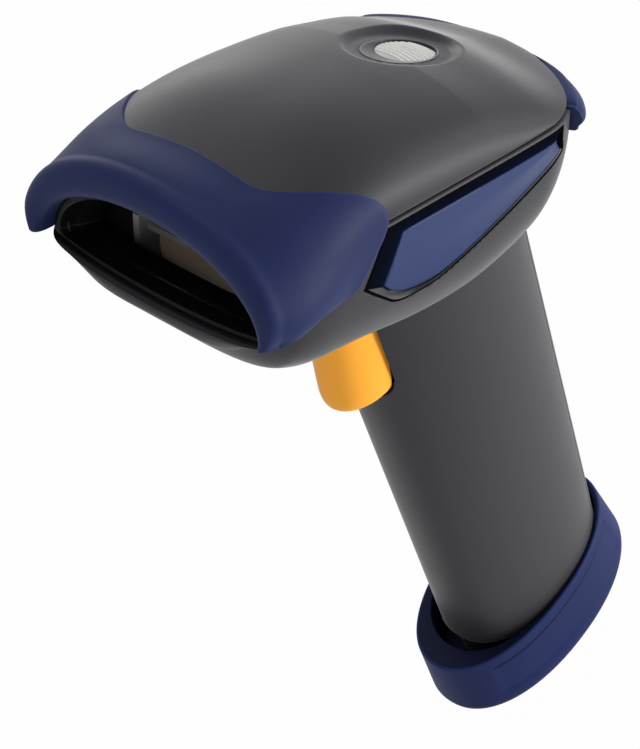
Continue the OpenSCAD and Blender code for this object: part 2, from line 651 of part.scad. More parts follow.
// Scan engine
module engine_chassis() color(pale) in_head() difference() {
    union() {
        translate([-engine_w / 2, engine_front, engine_z]) cube([engine_w, engine_len, chassis_t]);
        for (side = [0, 1]) mirror([side, 0, 0]) translate([engine_w / 2 - chassis_wall, 0, 0])
            rotate([90, 0, 90]) linear_extrude(chassis_wall) polygon([[engine_front, engine_z],
                [engine_rear, engine_z], [engine_rear, board_z], [deck_y, board_z], [deck_y, -4],
                [engine_front, -9]]);
        translate([-engine_w / 2, engine_rear - deck_t, engine_z]) cube([engine_w, deck_t, 2 - engine_z]);
        translate([-engine_w / 2, deck_y - deck_t, engine_z]) cube([engine_w, deck_t, deck_z - engine_z + 3]);
        translate([detector_x - 3.5, deck_y - deck_t, deck_z]) cube([7, deck_t, 5.8]);
        translate([-engine_w / 2, deck_y - deck_t, deck_z - deck_t])
            cube([engine_w, engine_rear - deck_y + deck_t, deck_t]);
        for (x = [-rib_x, rib_x]) translate([x - deck_t / 2, 0, 0]) rotate([90, 0, 90]) linear_extrude(deck_t)
            polygon([[mirror_foot, engine_z + 1.7], [deck_y - 1, engine_z + 1.7], [deck_y - 1, mirror_top_z],
                [deck_y - deck_t, mirror_top_z], [mirror_foot, engine_z + 2]]);
        translate([-engine_w / 2, mirror_foot + 1.4, mirror_rail_z]) cube([engine_w, 1.2, 1.2]);
        translate([laser_near + 2.5, spindle_y - 5, deck_z]) cube([8, 10, beam_z - deck_z - 1.2]);
        on_spindle() translate([-2.2, coil_near + 0.4, deck_z])
            cube([4.4, coil_len - 0.8, beam_z - deck_z - 1.5]);
    }
    translate([0, spindle_y, beam_z]) rotate([0, 90, 0]) bore(laser_d, engine_w / 2 - chassis_wall);
    on_spindle() translate([0, coil_near - 1, beam_z]) rotate([-90, 0, 0]) bore(coil_d, coil_len + 2);
    for (p = ear_spots) translate([p[0], p[1], engine_z - 1]) bore(small_d, 4);
}
module on_spindle() translate([spindle_x, spindle_y, 0]) rotate([0, 0, 45]) children();
module laser_module() color(brass) in_head() translate([laser_near, spindle_y, beam_z]) rotate([0, 90, 0])
    rotate_extrude($fn = 48) polygon([[1.2, 0], [laser_d / 2 - 0.5, 0], [laser_d / 2, 0.5],
        [laser_d / 2, laser_len], [0, laser_len], [0, 2], [1.2, 2]]);
module collecting_mirror() color(steel) in_head() translate([0, mirror_foot, engine_z + 2]) rotate([45, 0, 0])
    intersection() {
        translate([-engine_w / 2 + 2, 0, 0]) cube([engine_w - 4, mirror_rise, 1.6]);
        translate([0, mirror_rise - 2, -1]) cylinder(r = engine_w / 2 - 1, h = 4, $fn = 64);
    }
module photo_detector() color(black) in_head() translate([detector_x - 3, deck_y - 4, deck_z + 2.8])
    cube([6, 4 - deck_t, 3]);
module engine_board() color(board_green) in_head() {
    translate([-engine_w / 2, deck_y, board_z]) cube([engine_w, engine_rear - deck_y, 1.4]);
    translate([-5, deck_y + 4, board_z + 1.4]) cube([7, 7, 1]);
}
module drive_coil() color(copper) in_head() on_spindle() translate([0, coil_near, beam_z])
    rotate([-90, 0, 0]) difference() {
        cylinder(d = coil_d, h = coil_len);
        translate([0, 0, -1]) cylinder(d = 3, h = coil_len + 2);
    }
module mirror_spindle() color(steel) in_head() translate([spindle_x, spindle_y, deck_z]) {
    cylinder(d = spindle_d + 2.8, h = 0.8);
    cylinder(d = spindle_d, h = hub_h + 2);
}
module scan_mirror() color(steel) in_head() on_spindle() translate([0, 0, deck_z + 0.8 + slide_fit])
    difference() {
        union() {
            cylinder(d = spindle_d + 3.2, h = hub_h);
            translate([-mirror_w / 2, -4.2, 0]) cube([mirror_w, 1.6, hub_h]);
            translate([-2, -3, 0]) cube([4, 6, hub_h]);
        }
        translate([0, 0, -1]) cylinder(d = spindle_d + 2 * run_fit, h = hub_h + 2);
    }
module mirror_magnet() color(steel) in_head() on_spindle() translate([0, 3, beam_z]) rotate([-90, 0, 0])
    cylinder(d = 4, h = 2.6);
// A small screw with its head above z = 0
module small_screw(len) {
    cylinder(d = small_d + 1.8, h = 1.3);
    translate([0, 0, -len]) cylinder(d = small_d, h = len + 0.1);
}
module engine_screws() color(steel) in_head() for (p = ear_spots)
    translate([p[0], p[1], engine_z + chassis_t]) small_screw(5.5);

// Grip electronics
module main_board() color(board_green) in_grip() difference() {
    union() {
        translate([-10.5, board_y, board_low]) cube([21, board_t, board_high - board_low]);
        translate([-5, board_y + board_t, 62]) cube([10, 1.2, 10]);
        translate([-6, board_y + board_t, board_high - 6]) cube([12, 2.4, 4]);
    }
    for (z = board_screw_z) translate([0, board_y - 1, z]) rotate([-90, 0, 0]) bore(small_d, 8);
}
module board_screws() color(steel) in_grip() for (z = board_screw_z)
    translate([0, board_y + board_t, z]) rotate([-90, 0, 0]) small_screw(8);
module cable_socket() color(black) in_grip() translate([0, plug_y, socket_z]) difference() {
    translate([-plug_w / 2 - 1.6, -plug_d / 2 - 2.4, 0])
        cube([plug_w + 3.2, board_y - plug_y + plug_d / 2 + 2.4, 20]);
    translate([-plug_w / 2, -plug_d / 2, -1]) cube([plug_w, plug_d, 13]);
    translate([-1.6, -plug_d / 2 - 1.4, -1]) cube([3.2, 2, 9]);
}
module ribbon_cable() color(pale) in_head() {
    steps = [for (i = [0 : 12]) i / 12];
    skin([for (u = steps) ribbon_row(u, ribbon_t / 2)], [for (u = steps) ribbon_row(u, -ribbon_t / 2)]);
}
function ribbon_row(u, lift) =
    let (p = ribbon_point(u) + lift * ribbon_normal(u))
    [for (x = [-ribbon_w / 2, ribbon_w / 2]) [x, p[0], p[1]]];
function ribbon_point(u) =
    (1 - u) ^ 3 * ribbon_path[0] + 3 * u * (1 - u) ^ 2 * ribbon_path[1]
    + 3 * u ^ 2 * (1 - u) * ribbon_path[2] + u ^ 3 * ribbon_path[3];
function ribbon_normal(u) =
    let (d = ribbon_point(min(u + 0.01, 1)) - ribbon_point(max(u - 0.01, 0)))
    [-d[1], d[0]] / norm(d);
module switch_body() color(black) in_grip() difference() {
    translate([-4, board_y - 6, switch_z - 4]) cube([8, 6, 8]);
    translate([0, board_y - 7, switch_z]) rotate([-90, 0, 0])
        cylinder(d = plunger_d + 2 * slide_fit, h = 6.4);
}
module switch_plunger() color(pale) in_grip() translate([0, plunger_y, switch_z]) rotate([-90, 0, 0])
    cylinder(d = plunger_d, h = 4.4);

// Trigger
function trigger_ring(z, gap, back) =
    let (t = max((-z - trigger_curl) / (trigger_low + 1.8 * gap - trigger_curl), 0),
        k = max(1 - t ^ trigger_power, 0) ^ (1 / trigger_power),
        y = trigger_lean * (z + trigger_curl) - trigger_curl * 0.085)
    concat([[(trigger_w / 2 + gap) * k, y + back, z], [-(trigger_w / 2 + gap) * k, y + back, z]],
        [for (i = [0 : 16]) let (a = 180 + 180 * i / 16)
            [(trigger_w / 2 + gap) * k * cos(a), y + (trigger_reach + gap) * k * sin(a) - 0.01, z]]);
module trigger_form(gap, back, top) loft(concat(
    [for (i = [0 : 9])
        trigger_ring(mix(-trigger_low - 1.7 * gap, -trigger_curl, max(sin(10 * i), 0.005)), gap, back)],
    [trigger_ring(top, gap, back)]));
module on_pin() translate([0, pin_y, pin_z]) children();
module trigger() color(orange) in_grip() on_pin() rotate([trigger_swing, 0, 0]) difference() {
    union() {
        trigger_form(0, 0.3, -4);
        translate([-body_half, -8, -28]) cube([2 * body_half, 8 + body_back, 28]);
        translate([-body_half, 0, 0]) rotate([0, 90, 0]) cylinder(r = pin_d / 2 + 2, h = 2 * body_half);
        translate([-3, -4, arm_low]) cube([6, plunger_y - slide_fit - pin_y + 4, arm_h]);
    }
    translate([-trigger_w, 0, 0]) rotate([0, 90, 0]) cylinder(d = pin_d + 2 * run_fit, h = 2 * trigger_w);
}
module trigger_pin() color(steel) in_grip() on_pin() translate([-pin_len / 2, 0, 0]) rotate([0, 90, 0])
    cylinder(d = pin_d, h = pin_len);
module trigger_spring() color(steel) in_grip() on_pin() translate([0, body_back, -14]) rotate([-90, 0, 0])
    difference() {
        cylinder(d = 5, h = spring_stop - pin_y - body_back);
        translate([0, 0, -1]) cylinder(d = 3.6, h = 20);
    }
module housing_screws() color(steel) in_head() for (p = screw_spots) translate([p[0], p[1], -screw_seat]) {
    translate([0, 0, -1.8]) cylinder(d = screw_head, h = 1.8);
    translate([0, 0, -0.1]) cylinder(d = screw_d, h = screw_seat + boss_rise - 3);
}
module sole_screws() color(steel) for (y = sole_screw_y) translate([0, y, 0.4]) {
    cylinder(d = screw_head, h = 0.8);
    cylinder(d = screw_d, h = 17);
}

upper_shell();
lower_housing();
grip_back_cover();
nose_bumper();
rear_bumper();
side_panel_right();
side_panel_left();
panel_frame_right();
panel_frame_left();
base_boot();
sole_plate();
mouth_liner();
scan_window();
indicator_bezel();
indicator_lens();
indicator_board();
beeper();
engine_chassis();
laser_module();
collecting_mirror();
photo_detector();
engine_board();
drive_coil();
mirror_spindle();
scan_mirror();
mirror_magnet();
engine_screws();
main_board();
board_screws();
cable_socket();
ribbon_cable();
switch_body();
switch_plunger();
trigger();
trigger_pin();
trigger_spring();
housing_screws();
sole_screws();
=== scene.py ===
"""Looks of the handheld barcode scanner, built over its solid model in the same frame."""

import math

import bmesh
import bpy
import numpy as np
from mathutils import Matrix


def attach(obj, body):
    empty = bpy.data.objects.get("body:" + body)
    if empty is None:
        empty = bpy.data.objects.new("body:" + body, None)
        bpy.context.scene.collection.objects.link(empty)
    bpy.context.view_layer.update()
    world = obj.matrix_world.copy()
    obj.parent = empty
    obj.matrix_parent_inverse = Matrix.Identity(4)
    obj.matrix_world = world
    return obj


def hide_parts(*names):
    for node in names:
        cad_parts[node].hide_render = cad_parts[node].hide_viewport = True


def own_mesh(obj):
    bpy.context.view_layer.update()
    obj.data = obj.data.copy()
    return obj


bl_info = {
    "name": "Handheld barcode scanner",
    "version": (1, 0, 0),
    "blender": (4, 5, 0),
    "location": "View3D > Sidebar > Scanner",
    "description": "Builds the shells, bumpers, panels, boot, trigger and optics of a handheld scanner",
    "category": "Object",
}

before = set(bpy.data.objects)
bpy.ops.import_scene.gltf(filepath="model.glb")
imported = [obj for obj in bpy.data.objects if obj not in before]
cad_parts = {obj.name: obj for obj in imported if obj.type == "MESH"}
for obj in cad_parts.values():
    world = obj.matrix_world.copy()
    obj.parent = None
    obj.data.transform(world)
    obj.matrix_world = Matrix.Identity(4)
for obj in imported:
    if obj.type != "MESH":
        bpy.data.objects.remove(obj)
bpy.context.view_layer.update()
MM = 0.001

# Lines along the head, jaw to tail, as pairs of station and share or power
WIDTH_LINE = [(-1, 0.9), (-0.86, 0.955), (-0.7, 0.99), (-0.3, 1), (0.3, 1), (1, 0.97)]
DOME_SQUARE = [(-1, 1.9), (-0.82, 2.4), (-0.5, 2.6), (0.1, 2.25), (0.55, 1.6), (1, 1.3)]
DOME_LINE = [(-1, 0.5), (-0.82, 0.76), (-0.5, 1), (-0.17, 0.965), (0.18, 0.775), (0.45, 0.625), (0.75, 0.27),
             (1, 0.12)]
TUB_LINE = [(-1, 0.545), (-0.93, 0.69), (-0.86, 0.78), (-0.7, 0.855), (-0.5, 0.91), (-0.25, 0.985), (0, 1),
            (0.4, 0.92), (0.7, 0.76), (1, 0.54)]
TUB_SQUARE = [(-1, 3.8), (-0.86, 4.8), (-0.6, 4.2), (0.1, 3.8), (1, 2.6)]
# Rear edge of the nose bumper: degrees up from its corner and share of the head's front
NOSE_EDGE = [(0, 0.73), (3, 0.64), (6, 0.612), (15, 0.557), (25, 0.509), (32, 0.522), (39, 0.56), (47, 0.625),
             (54, 0.695), (61, 0.77), (67, 0.818), (70, 0.829), (75, 0.831), (90, 0.82)]
# Lower edge of the side panel, nose to tail: shares of its length and of its drop
PANEL_LOW = [(0, -0.76), (0.06, -0.9), (0.14, -0.98), (0.28, -1), (0.42, -0.9), (0.62, -0.72), (0.82, -0.53),
             (1, -0.34)]
# Degrees at which the nose bumper's section crosses the seam
SEAM_ANGLE = 25.0
# Turned-in lip of a shell along the seam: inset and share of the edge's height
SEAM_LIP = [(1.7, 0.42), (0.5, 0.42), (0.12, 0.62)]


def length(name, value, note):
    """A size in metres whose default is given in millimetres."""
    return bpy.props.FloatProperty(name=name, description=note, default=value * MM, min=0.0, precision=5,
                                   unit="LENGTH", subtype="DISTANCE")


def colour(name, value, note):
    """A linear colour."""
    return bpy.props.FloatVectorProperty(name=name, description=note, default=value, size=3, min=0.0, max=1.0,
                                         subtype="COLOR")


class ScannerSizes(bpy.types.PropertyGroup):
    """Sizes of the visible pieces."""

    head_width: length("Head width", 59, "Width of the head across the seam")
    head_front: length("Head front", 58, "Reach of the jaw ahead of the grip axis")
    head_rear: length("Head rear", 38, "Reach of the tail behind the grip axis")
    dome_height: length("Dome height", 14.1, "Height of the dome above the seam")
    tub_depth: length("Tub depth", 33, "Depth of the tub below the seam")
    axis_length: length("Axis length", 167.8, "Height of the seam above the sole along the grip axis")
    rake: bpy.props.FloatProperty(name="Head slope", description="Backward slope of the head on the grip",
                                  default=math.radians(20.6), subtype="ANGLE")
    lean: bpy.props.FloatProperty(name="Grip lean", description="Backward lean of the grip on its sole",
                                  default=math.radians(7.3), subtype="ANGLE")
    seam_gap: length("Seam gap", 0.8, "Width of the groove between dome and tub")
    fillet: length("Fillet", 6, "Radius where the grip meets the tub")
    lip: length("Lip", 7.6, "Thickness of the nose lip at the top of the arch")
    dish_half: length("Dish half width", 11.4, "Half width of the oval dish round the indicator")
    dish_length: length("Dish half length", 14.5, "Half length of the oval dish round the indicator")
    lens_half: length("Lens half width", 5.4, "Half width of the indicator lens")
    lens_length: length("Lens half length", 6.6, "Half length of the indicator lens")
    rib_pitch: length("Rib pitch", 1.2, "Spacing of the ribs on the indicator lens")
    boot_height: length("Boot height", 20.6, "Height of the base boot above the floor")


class ScannerColours(bpy.types.PropertyGroup):
    """Colours of the finishes."""

    shell: colour("Shell", (0.022, 0.021, 0.026), "Satin grey plastic of dome, tub and grip")
    bumper: colour("Bumpers", (0.014, 0.021, 0.074), "Soft blue of the nose and rear bumpers")
    panel: colour("Side panels", (0.020, 0.034, 0.106), "Blue of the side panels")
    boot: colour("Boot", (0.014, 0.021, 0.076), "Navy rubber of the base boot")
    trigger: colour("Trigger", (1.0, 0.41, 0.04), "Orange of the trigger")
    lens: colour("Lens", (0.70, 0.70, 0.68), "Milky grey of the indicator lens")
    # On the tub's seam tongue and the jaw's inner rows this black stands in as painted shade.
    black: colour("Black", (0.010, 0.010, 0.012), "Black of the mouth liner, seams and sole")
    mirror: colour("Mirror", (0.62, 0.47, 0.33), "Warm coating of the collecting mirror")


def curve(line, x):
    """Smooth curve through pairs of station and value."""
    p = np.array(line, float)
    s, v, n = p[:, 0], p[:, 1], len(p)
    slope = np.array([(v[min(i + 1, n - 1)] - v[max(i - 1, 0)]) / (s[min(i + 1, n - 1)] - s[max(i - 1, 0)])
                      for i in range(n)])
    i = np.clip(np.searchsorted(s, x, side="right") - 1, 0, n - 2)
    h = s[i + 1] - s[i]
    u = np.clip((x - s[i]) / h, 0, 1)
    return ((2 * u**3 - 3 * u**2 + 1) * v[i] + (u**3 - 2 * u**2 + u) * h * slope[i]
            + (3 * u**2 - 2 * u**3) * v[i + 1] + (u**3 - u**2) * h * slope[i + 1])


def ease(u):
    u = np.clip(u, 0, 1)
    return u * u * (3 - 2 * u)


def mix(a, b, u):
    return a + (b - a) * u


def bend(c, n):
    return np.sign(c) * np.abs(c) ** (2 / n)


def polar(phi, n):
    """Point of a rounded square of half size 1 at polar angle phi."""
    c, s = np.cos(phi), np.sin(phi)
    r = (np.abs(c) ** n + np.abs(s) ** n) ** (-1 / n)
    return r * c, r * s


def soft_min(a, b, k):
    h = np.clip(0.5 + 0.5 * (b - a) / k, 0, 1)
    return mix(b, a, h) - k * h * (1 - h)


def stack(*parts):
    return np.stack(np.broadcast_arrays(*parts), -1)


def turned(p, angle):
    """Points turned about the x axis, upper ones backwards."""
    c, s = math.cos(angle), math.sin(angle)
    return stack(p[..., 0], p[..., 1] * c + p[..., 2] * s, p[..., 2] * c - p[..., 1] * s)


def outline_distance(loop, p):
    """Signed distance of points to a closed outline, positive inside."""
    a, b = np.asarray(loop), np.roll(np.asarray(loop), -1, 0)
    best = np.full(p.shape[:-1], 1e9)
    inside = np.zeros(p.shape[:-1], bool)
    for s, e in zip(a, b):
        d = e - s
        t = np.clip(((p - s) @ d) / max(d @ d, 1e-12), 0, 1)
        best = np.minimum(best, np.linalg.norm(p - s - t[..., None] * d, axis=-1))
        if s[1] != e[1]:
            cross = s[0] + (p[..., 1] - s[1]) / (e[1] - s[1]) * d[0]
            inside ^= ((s[1] > p[..., 1]) != (e[1] > p[..., 1])) & (p[..., 0] < cross)
    return np.where(inside, best, -best)


class Form:
    """Shapes in millimetres: the head's frame has the seam at height 0, the grip's frame has its axis upright."""

    mouth_half, arch, corner, jaw_drop = 27.5, 14.2, 12.0, 4.2
    lip_reach, bumper_bed, edge_raise, jaw_bow, jaw_round = 3.0, 0.9, 0.5, 3.5, 1.2
    hood_side, hood_gap, hood_tuck, tuck_turn, hood_power, window_set = 4.5, 0.6, 1.8, 16.0, 2.2, 9.0
    dome_front, dome_fall, tub_fall, seam_rim, seam_bed, bow_start = -52.0, 0.71, 0.6, 0.3, 0.85, 0.75
    pocket_depth, pocket_edge, pocket_round = 2.2, 0.3, 0.4
    funnel_y, step_y = -56.6, -53.4
    rear_power, rear_start, grip_power, boot_power = 2.1, 0.42, 2.2, 2.15
    # The last two sizes on the next line set the depth and reach of the painted shade toward the grip's foot.
    grip_foot, neck_step, foot_slope, foot_grime, grime_reach = 16.6, 2.4, 0.128, 0.55, 16.0
    grip_w_foot, grip_w_top, grip_d_foot, grip_d_top, fillet_rear = 27.8, 31.4, 44.0, 51.6, 0.7
    neck_low, neck_high = 60.0, 166.0
    pin_y, pin_drop, trigger_w, trigger_reach = -19.5, 24.0, 14.9, 11.0
    trigger_low, trigger_curl, trigger_lean, trigger_power, trigger_set = 33.8, 25.4, 0.13, 3.8, 0.085
    slot_gap, slot_round, slot_cut, slot_face, slot_top = 0.2, 0.35, 5.0, -8.0, 4.0
    hub_half, hub_round, pin_round, trigger_top, trigger_web = 5.6, 3.5, 1.56, -4.0, 0.3
    spring_stop, spring_half, spring_wire, spring_drop, spring_turns, spring_gap = -8.0, 2.5, 0.35, 14.0, 7, 0.05
    spring_seat, spring_keep = 1.0, 0.86
    panel_front, panel_sweep, panel_rear, panel_top, panel_drop = 24.0, 4.5, 20.4, 4.4, 18.2
    panel_bevel, bevel_sweep, panel_line, panel_sink, panel_back, panel_round = 3.0, 1.6, 0.7, 1.0, 2.0, 0.16
    dip_share, dip_start, dip_rise = 0.75, 0.45, 1.4
    panel_lip, panel_chin, chin_end, nose_slope = 0.4, 2.2, 0.34, 2.33
    rear_hub, rear_turn, rear_mid, rear_low, rear_high = 10.0, 60.0, -1.4, 4.9, 1.0
    rear_end, rear_proud, rear_fade, rear_lift, rear_thin, rear_thick = 0.7, 2.2, 0.2, 1.1, 0.7, 1.18
    tail_reach = 60.0
    dish_y, dish_tilt, dish_wall, dish_depth = 7.2, math.radians(13), 2.8, 1.6
    dish_soft, dish_steep, dish_edge, dish_reach, hole_edge, hole_depth = 0.5, 2.5, 0.2, 3.0, 0.3, 2.2
    well_half, well_len, well_depth, well_foot, bezel_rim, bezel_proud = 5.9, 8.7, 0.4, -4.0, 0.4, 0.15
    lens_back, lens_rise, lens_set, rib_set = 2.0, 0.6, 0.1, 0.14
    cover_turn, cover_low, cover_top, cover_sink = 40.0, 26.0, 33.0, 1.0
    cover_gap, cover_edge, cover_radius = 0.006, 0.12, 18.0
    boot_w, boot_front, boot_rear, sole_t, boot_floor = 33.6, 30.1, 29.1, 2.0, 8.0
    boot_side, boot_toe, boot_heel, boot_draft = 2.4, 7.0, 2.6, 1.0
    boot_round, boot_swell, boot_tuck, boot_rim, boot_lip, boot_flat = 2.6, 1.5, 1.2, 1.0, 0.6, 0.3
    groove_drop, groove_half, groove_depth, groove_turn = 3.4, 0.26, 0.55, 50.0

    def __init__(self, sizes):
        self.half = sizes.head_width / MM / 2
        self.front = sizes.head_front / MM
        self.rear = sizes.head_rear / MM
        self.dome_h = sizes.dome_height / MM
        self.tub_depth = sizes.tub_depth / MM
        self.axis = sizes.axis_length / MM
        self.rake, self.lean = sizes.rake, sizes.lean
        self.seam = sizes.seam_gap / MM / 2
        self.fillet = sizes.fillet / MM
        self.lip = sizes.lip / MM
        self.dish_half, self.dish_len = sizes.dish_half / MM, sizes.dish_length / MM
        self.lens_half, self.lens_len = sizes.lens_half / MM, sizes.lens_length / MM
        self.rib_pitch = sizes.rib_pitch / MM
        self.boot_h = sizes.boot_height / MM
        self.jaw_y = -self.front
        self.jaw_edge = self.jaw_y + self.jaw_round
        self.seam_edge = self.seam + self.seam_rim
        self.hood_half = self.mouth_half + self.hood_side
        self.hood_low = self.hood_gap - self.corner
        self.hood_rise = self.arch + self.lip - self.hood_gap
        self.hood_y = self.jaw_y + 0.5
        self.bed_y = self.jaw_y + 2.5
        self.window_y = self.jaw_y + self.window_set
        self.dish_centre = np.array([0.0, self.dish_y, float(self.dome_top(np.array(self.dish_y)))])
        self.pin = np.array([0.0, self.pin_y, self.axis - self.pin_drop])

    # Frames
    def grip_to_row(self, p):
        return turned(p, self.lean)

    def head_to_grip(self, p):
        return turned(p, self.rake) + [0, 0, self.axis]

    def grip_to_head(self, p):
        return turned(p - [0, 0, self.axis], -self.rake)

    def head_to_row(self, p):
        return self.grip_to_row(self.head_to_grip(p))

    def dish_to_head(self, p):
        return turned(p, self.dish_tilt) + self.dish_centre

    def head_to_dish(self, p):
        return turned(p - self.dish_centre, -self.dish_tilt)

    def pin_to_row(self, p):
        return self.grip_to_row(p + self.pin)

    @staticmethod
    def oval_gap(p, half, long):
        """Distance of points of the dish's frame outside an oval, about."""
        reach = np.hypot(p[..., 0] / half, p[..., 1] / long)
        return (reach - 1) * reach / np.maximum(np.hypot(p[..., 0] / half**2, p[..., 1] / long**2), 1e-6)

    # Head
    def station(self, y, g=0.0):
        return np.where(y < 0, y / self.front, y / (self.rear + g))

    def tail(self, v):
        w = np.clip((v - self.rear_start) / (1 - self.rear_start), 0, 1)
        return (1 - w**self.rear_power) ** (1 / self.rear_power)

    def head_half(self, y, g=0.0):
        v = self.station(y, g)
        return (self.half * curve(WIDTH_LINE, v) + g) * self.tail(v)

    def dome_top(self, y, g=0.0):
        v = self.station(y, g)
        return (self.dome_h * curve(DOME_LINE, v) + g) * self.tail(v) ** self.dome_fall

    def tub_low(self, y, g=0.0):
        v = self.station(y, g)
        return (self.tub_depth * curve(TUB_LINE, v) + g) * self.tail(v) ** self.tub_fall

    def dome_point(self, y, degrees, g=0.0):
        n = curve(DOME_SQUARE, self.station(y, g))
        a = np.radians(degrees)
        return stack(self.head_half(y, g) * bend(np.cos(a), n), y, self.dome_top(y, g) * bend(np.sin(a), n))

    def side_half(self, y, z, g=0.0):
        n = curve(TUB_SQUARE, self.station(y, g))
        return self.head_half(y, g) * (1 - np.clip(-z / self.tub_low(y, g), 0, 1) ** n) ** (1 / n)

    def side_point(self, y, z, g=0.0):
        return stack(self.side_half(y, z, g), y, z)

    def rows(self, front_y, tail_rows, step):
        tail = self.rear * mix(self.rear_start, 1, np.sin(np.linspace(math.pi / 2, 0, tail_rows)))
        body = np.arange(self.rear * self.rear_start - step, front_y, -step)
        return np.concatenate([tail, body, [front_y]])

    # Nose
    def nose_base(self, y, a, g):
        e = np.where(a <= 90, a, 180 - a)
        side = np.where(a <= 90, 1, -1)
        low = (self.corner - 0.7) * (1 - np.clip(e / SEAM_ANGLE, 0, 1))
        p = np.where((e < SEAM_ANGLE)[..., None], self.side_point(y, -low, g),
                     self.dome_point(y, 90 * np.clip((e - SEAM_ANGLE) / (90 - SEAM_ANGLE), 0, 1), g))
        return stack(side * p[..., 0], p[..., 1], p[..., 2])

    def hood(self, y, a, g=0.0):
        t = np.radians(a)
        tuck = self.hood_tuck * np.clip(1 - np.where(a <= 90, a, 180 - a) / self.tuck_turn, 0, 1) ** 2
        return stack((self.hood_half + g - tuck) * bend(np.cos(t), self.hood_power), y,
                     self.hood_low + (self.hood_rise + g) * bend(np.sin(t), self.hood_power))

    def arch_point(self, y, a, g=0.0):
        t = np.radians(a)
        return stack((self.mouth_half + g) * np.cos(t), y, (self.arch + g) * np.sin(t) - self.corner)

    def nose_rear(self, a):
        return -self.front * curve(NOSE_EDGE, np.where(a <= 90, a, 180 - a))

    def leaf(self, y, a, g=0.0):
        k = mix(1, 0.9, (y - self.jaw_y) / (self.window_y - self.jaw_y))
        rise = np.where(np.sin(a) > 0, self.arch, self.jaw_drop)
        return stack((self.mouth_half * k + g) * np.cos(a), y, (rise * k + g) * np.sin(a) - self.corner)

    # Tail bumper
    def level_half(self, y, z, g):
        n = curve(DOME_SQUARE, self.station(y, g))
        top = np.maximum(self.dome_top(y, g), 1e-6)
        upper = self.head_half(y, g) * (1 - np.clip(z / top, 0, 1) ** n) ** (1 / n)
        half = np.where(z < 0, self.side_half(y, np.minimum(z, -1e-9), g), upper)
        return np.where(y >= self.rear + g, 0, half)

    def tail_point(self, a, z, g):
        shape = np.broadcast(a, z, g).shape
        near, far = np.zeros(shape), np.full(shape, self.tail_reach)
        t = np.radians(np.abs(a))
        for _ in range(26):
            r = (near + far) / 2
            out = r * np.sin(t) >= self.level_half(self.rear_hub + r * np.cos(t), z, g)
            far, near = np.where(out, r, far), np.where(out, near, r)
        return stack(np.sign(a) * near * np.sin(t), self.rear_hub + near * np.cos(t), z)

    # Side panel
    def panel_edges(self, grow, bevel, count=80):
        """Lower and upper edge of the panel's outline, nose to tail."""
        u = np.linspace(0, 1, count)
        chin = self.panel_lip + self.panel_chin * (1 - ease(u / self.chin_end))
        drop = min(grow, self.panel_line) * chin + max(grow - self.panel_line, 0.0)
        start = -self.panel_front - self.panel_sweep
        y = mix(start - self.bevel_sweep * bevel, self.panel_rear, u)
        w = (y - start) / (self.panel_rear - start)
        fall = curve(PANEL_LOW, np.clip(w, 0, 1)) - self.nose_slope * np.minimum(w, 0)
        low = stack(y - grow * (1 - 2 * u), fall * self.panel_drop - drop)
        top = stack(mix(-self.panel_front - self.bevel_sweep * bevel, self.panel_rear, u), bevel - self.panel_top)
        return low, top

    def panel_dip(self, p):
        """Share of the panel's sink at its points: full along top and nose, least along the lower rear edge."""
        start = -self.panel_front - self.panel_sweep
        u = np.clip((p[..., 0] - start) / (self.panel_rear - start), 0, 1)
        low = curve(PANEL_LOW, u) * self.panel_drop
        v = np.clip((p[..., 1] - low) / np.maximum(-self.panel_top - low, 1e-3), 0, 1)
        return mix(1 - self.dip_share * ease(u / self.dip_start), 1, ease(v * self.dip_rise))

    def panel_loop(self, grow, bevel, count=80):
        """Closed outline: lower edge, tail, upper edge and nose."""
        low, top = self.panel_edges(grow, bevel, count)
        side = np.linspace(0, 1, count // 3)[1:-1, None]
        return np.concatenate([low, mix(low[-1], top[-1], side), top[::-1], mix(top[0], low[0], side)])

    # Grip and boot
    def grip_half(self, z, g=0.0):
        u = z / self.axis
        return mix(self.grip_w_foot, self.grip_w_top, u) / 2 + g, mix(self.grip_d_foot, self.grip_d_top, u) / 2 + g

    def grip_point(self, z, phi, g=0.0):
        w, d = self.grip_half(z, g)
        c, s = polar(phi, self.grip_power)
        return stack(w * c, d * s, z)

    def in_tub(self, p, g=0.0):
        h = self.grip_to_head(p)
        y = np.clip(h[..., 1], -self.front, self.rear + g - 1e-6)
        inside = np.abs(h[..., 0]) < self.side_half(y, np.minimum(h[..., 2], -1e-9), g)
        return inside & (h[..., 2] > -self.tub_low(y, g)) & (h[..., 1] < self.rear + g)

    def boot_oval(self, z, phi, g=0.0, side=0.0, toe=0.0, heel=0.0):
        c, s = polar(phi, self.boot_power)
        reach = np.where(s < 0, self.boot_front - toe, self.boot_rear - heel) + g
        return stack((self.boot_w / 2 - side + g) * c, reach * s, z)

    # Trigger, in its own frame with the pin at 0
    def trigger_fade(self, z, gap=0.0):
        t = np.clip((-z - self.trigger_curl) / (self.trigger_low + 1.8 * gap - self.trigger_curl), 0, 1)
        return np.clip(1 - t**self.trigger_power, 0, 1) ** (1 / self.trigger_power)

    def trigger_back(self, z):
        return self.trigger_lean * (z + self.trigger_curl) - self.trigger_curl * self.trigger_set

    def slot_depth(self, p):
        """How far a point of the grip frame lies inside the trigger's slot, seen from the front."""
        z = p[..., 2] - (self.axis - self.pin_drop)
        gap = self.slot_gap
        width = (self.trigger_w / 2 + gap) * self.trigger_fade(z, gap) - np.abs(p[..., 0])
        near = (p[..., 1] < self.slot_face) & (z < self.slot_top) & (z > -self.trigger_low - 2 * gap)
        return np.where(near, width, -1.0)

    def slot_share(self, p):
        """Share of the slot's cut at points of the grip frame, with a rounded edge."""
        return ease((self.slot_depth(p) + self.slot_gap) / self.slot_round)


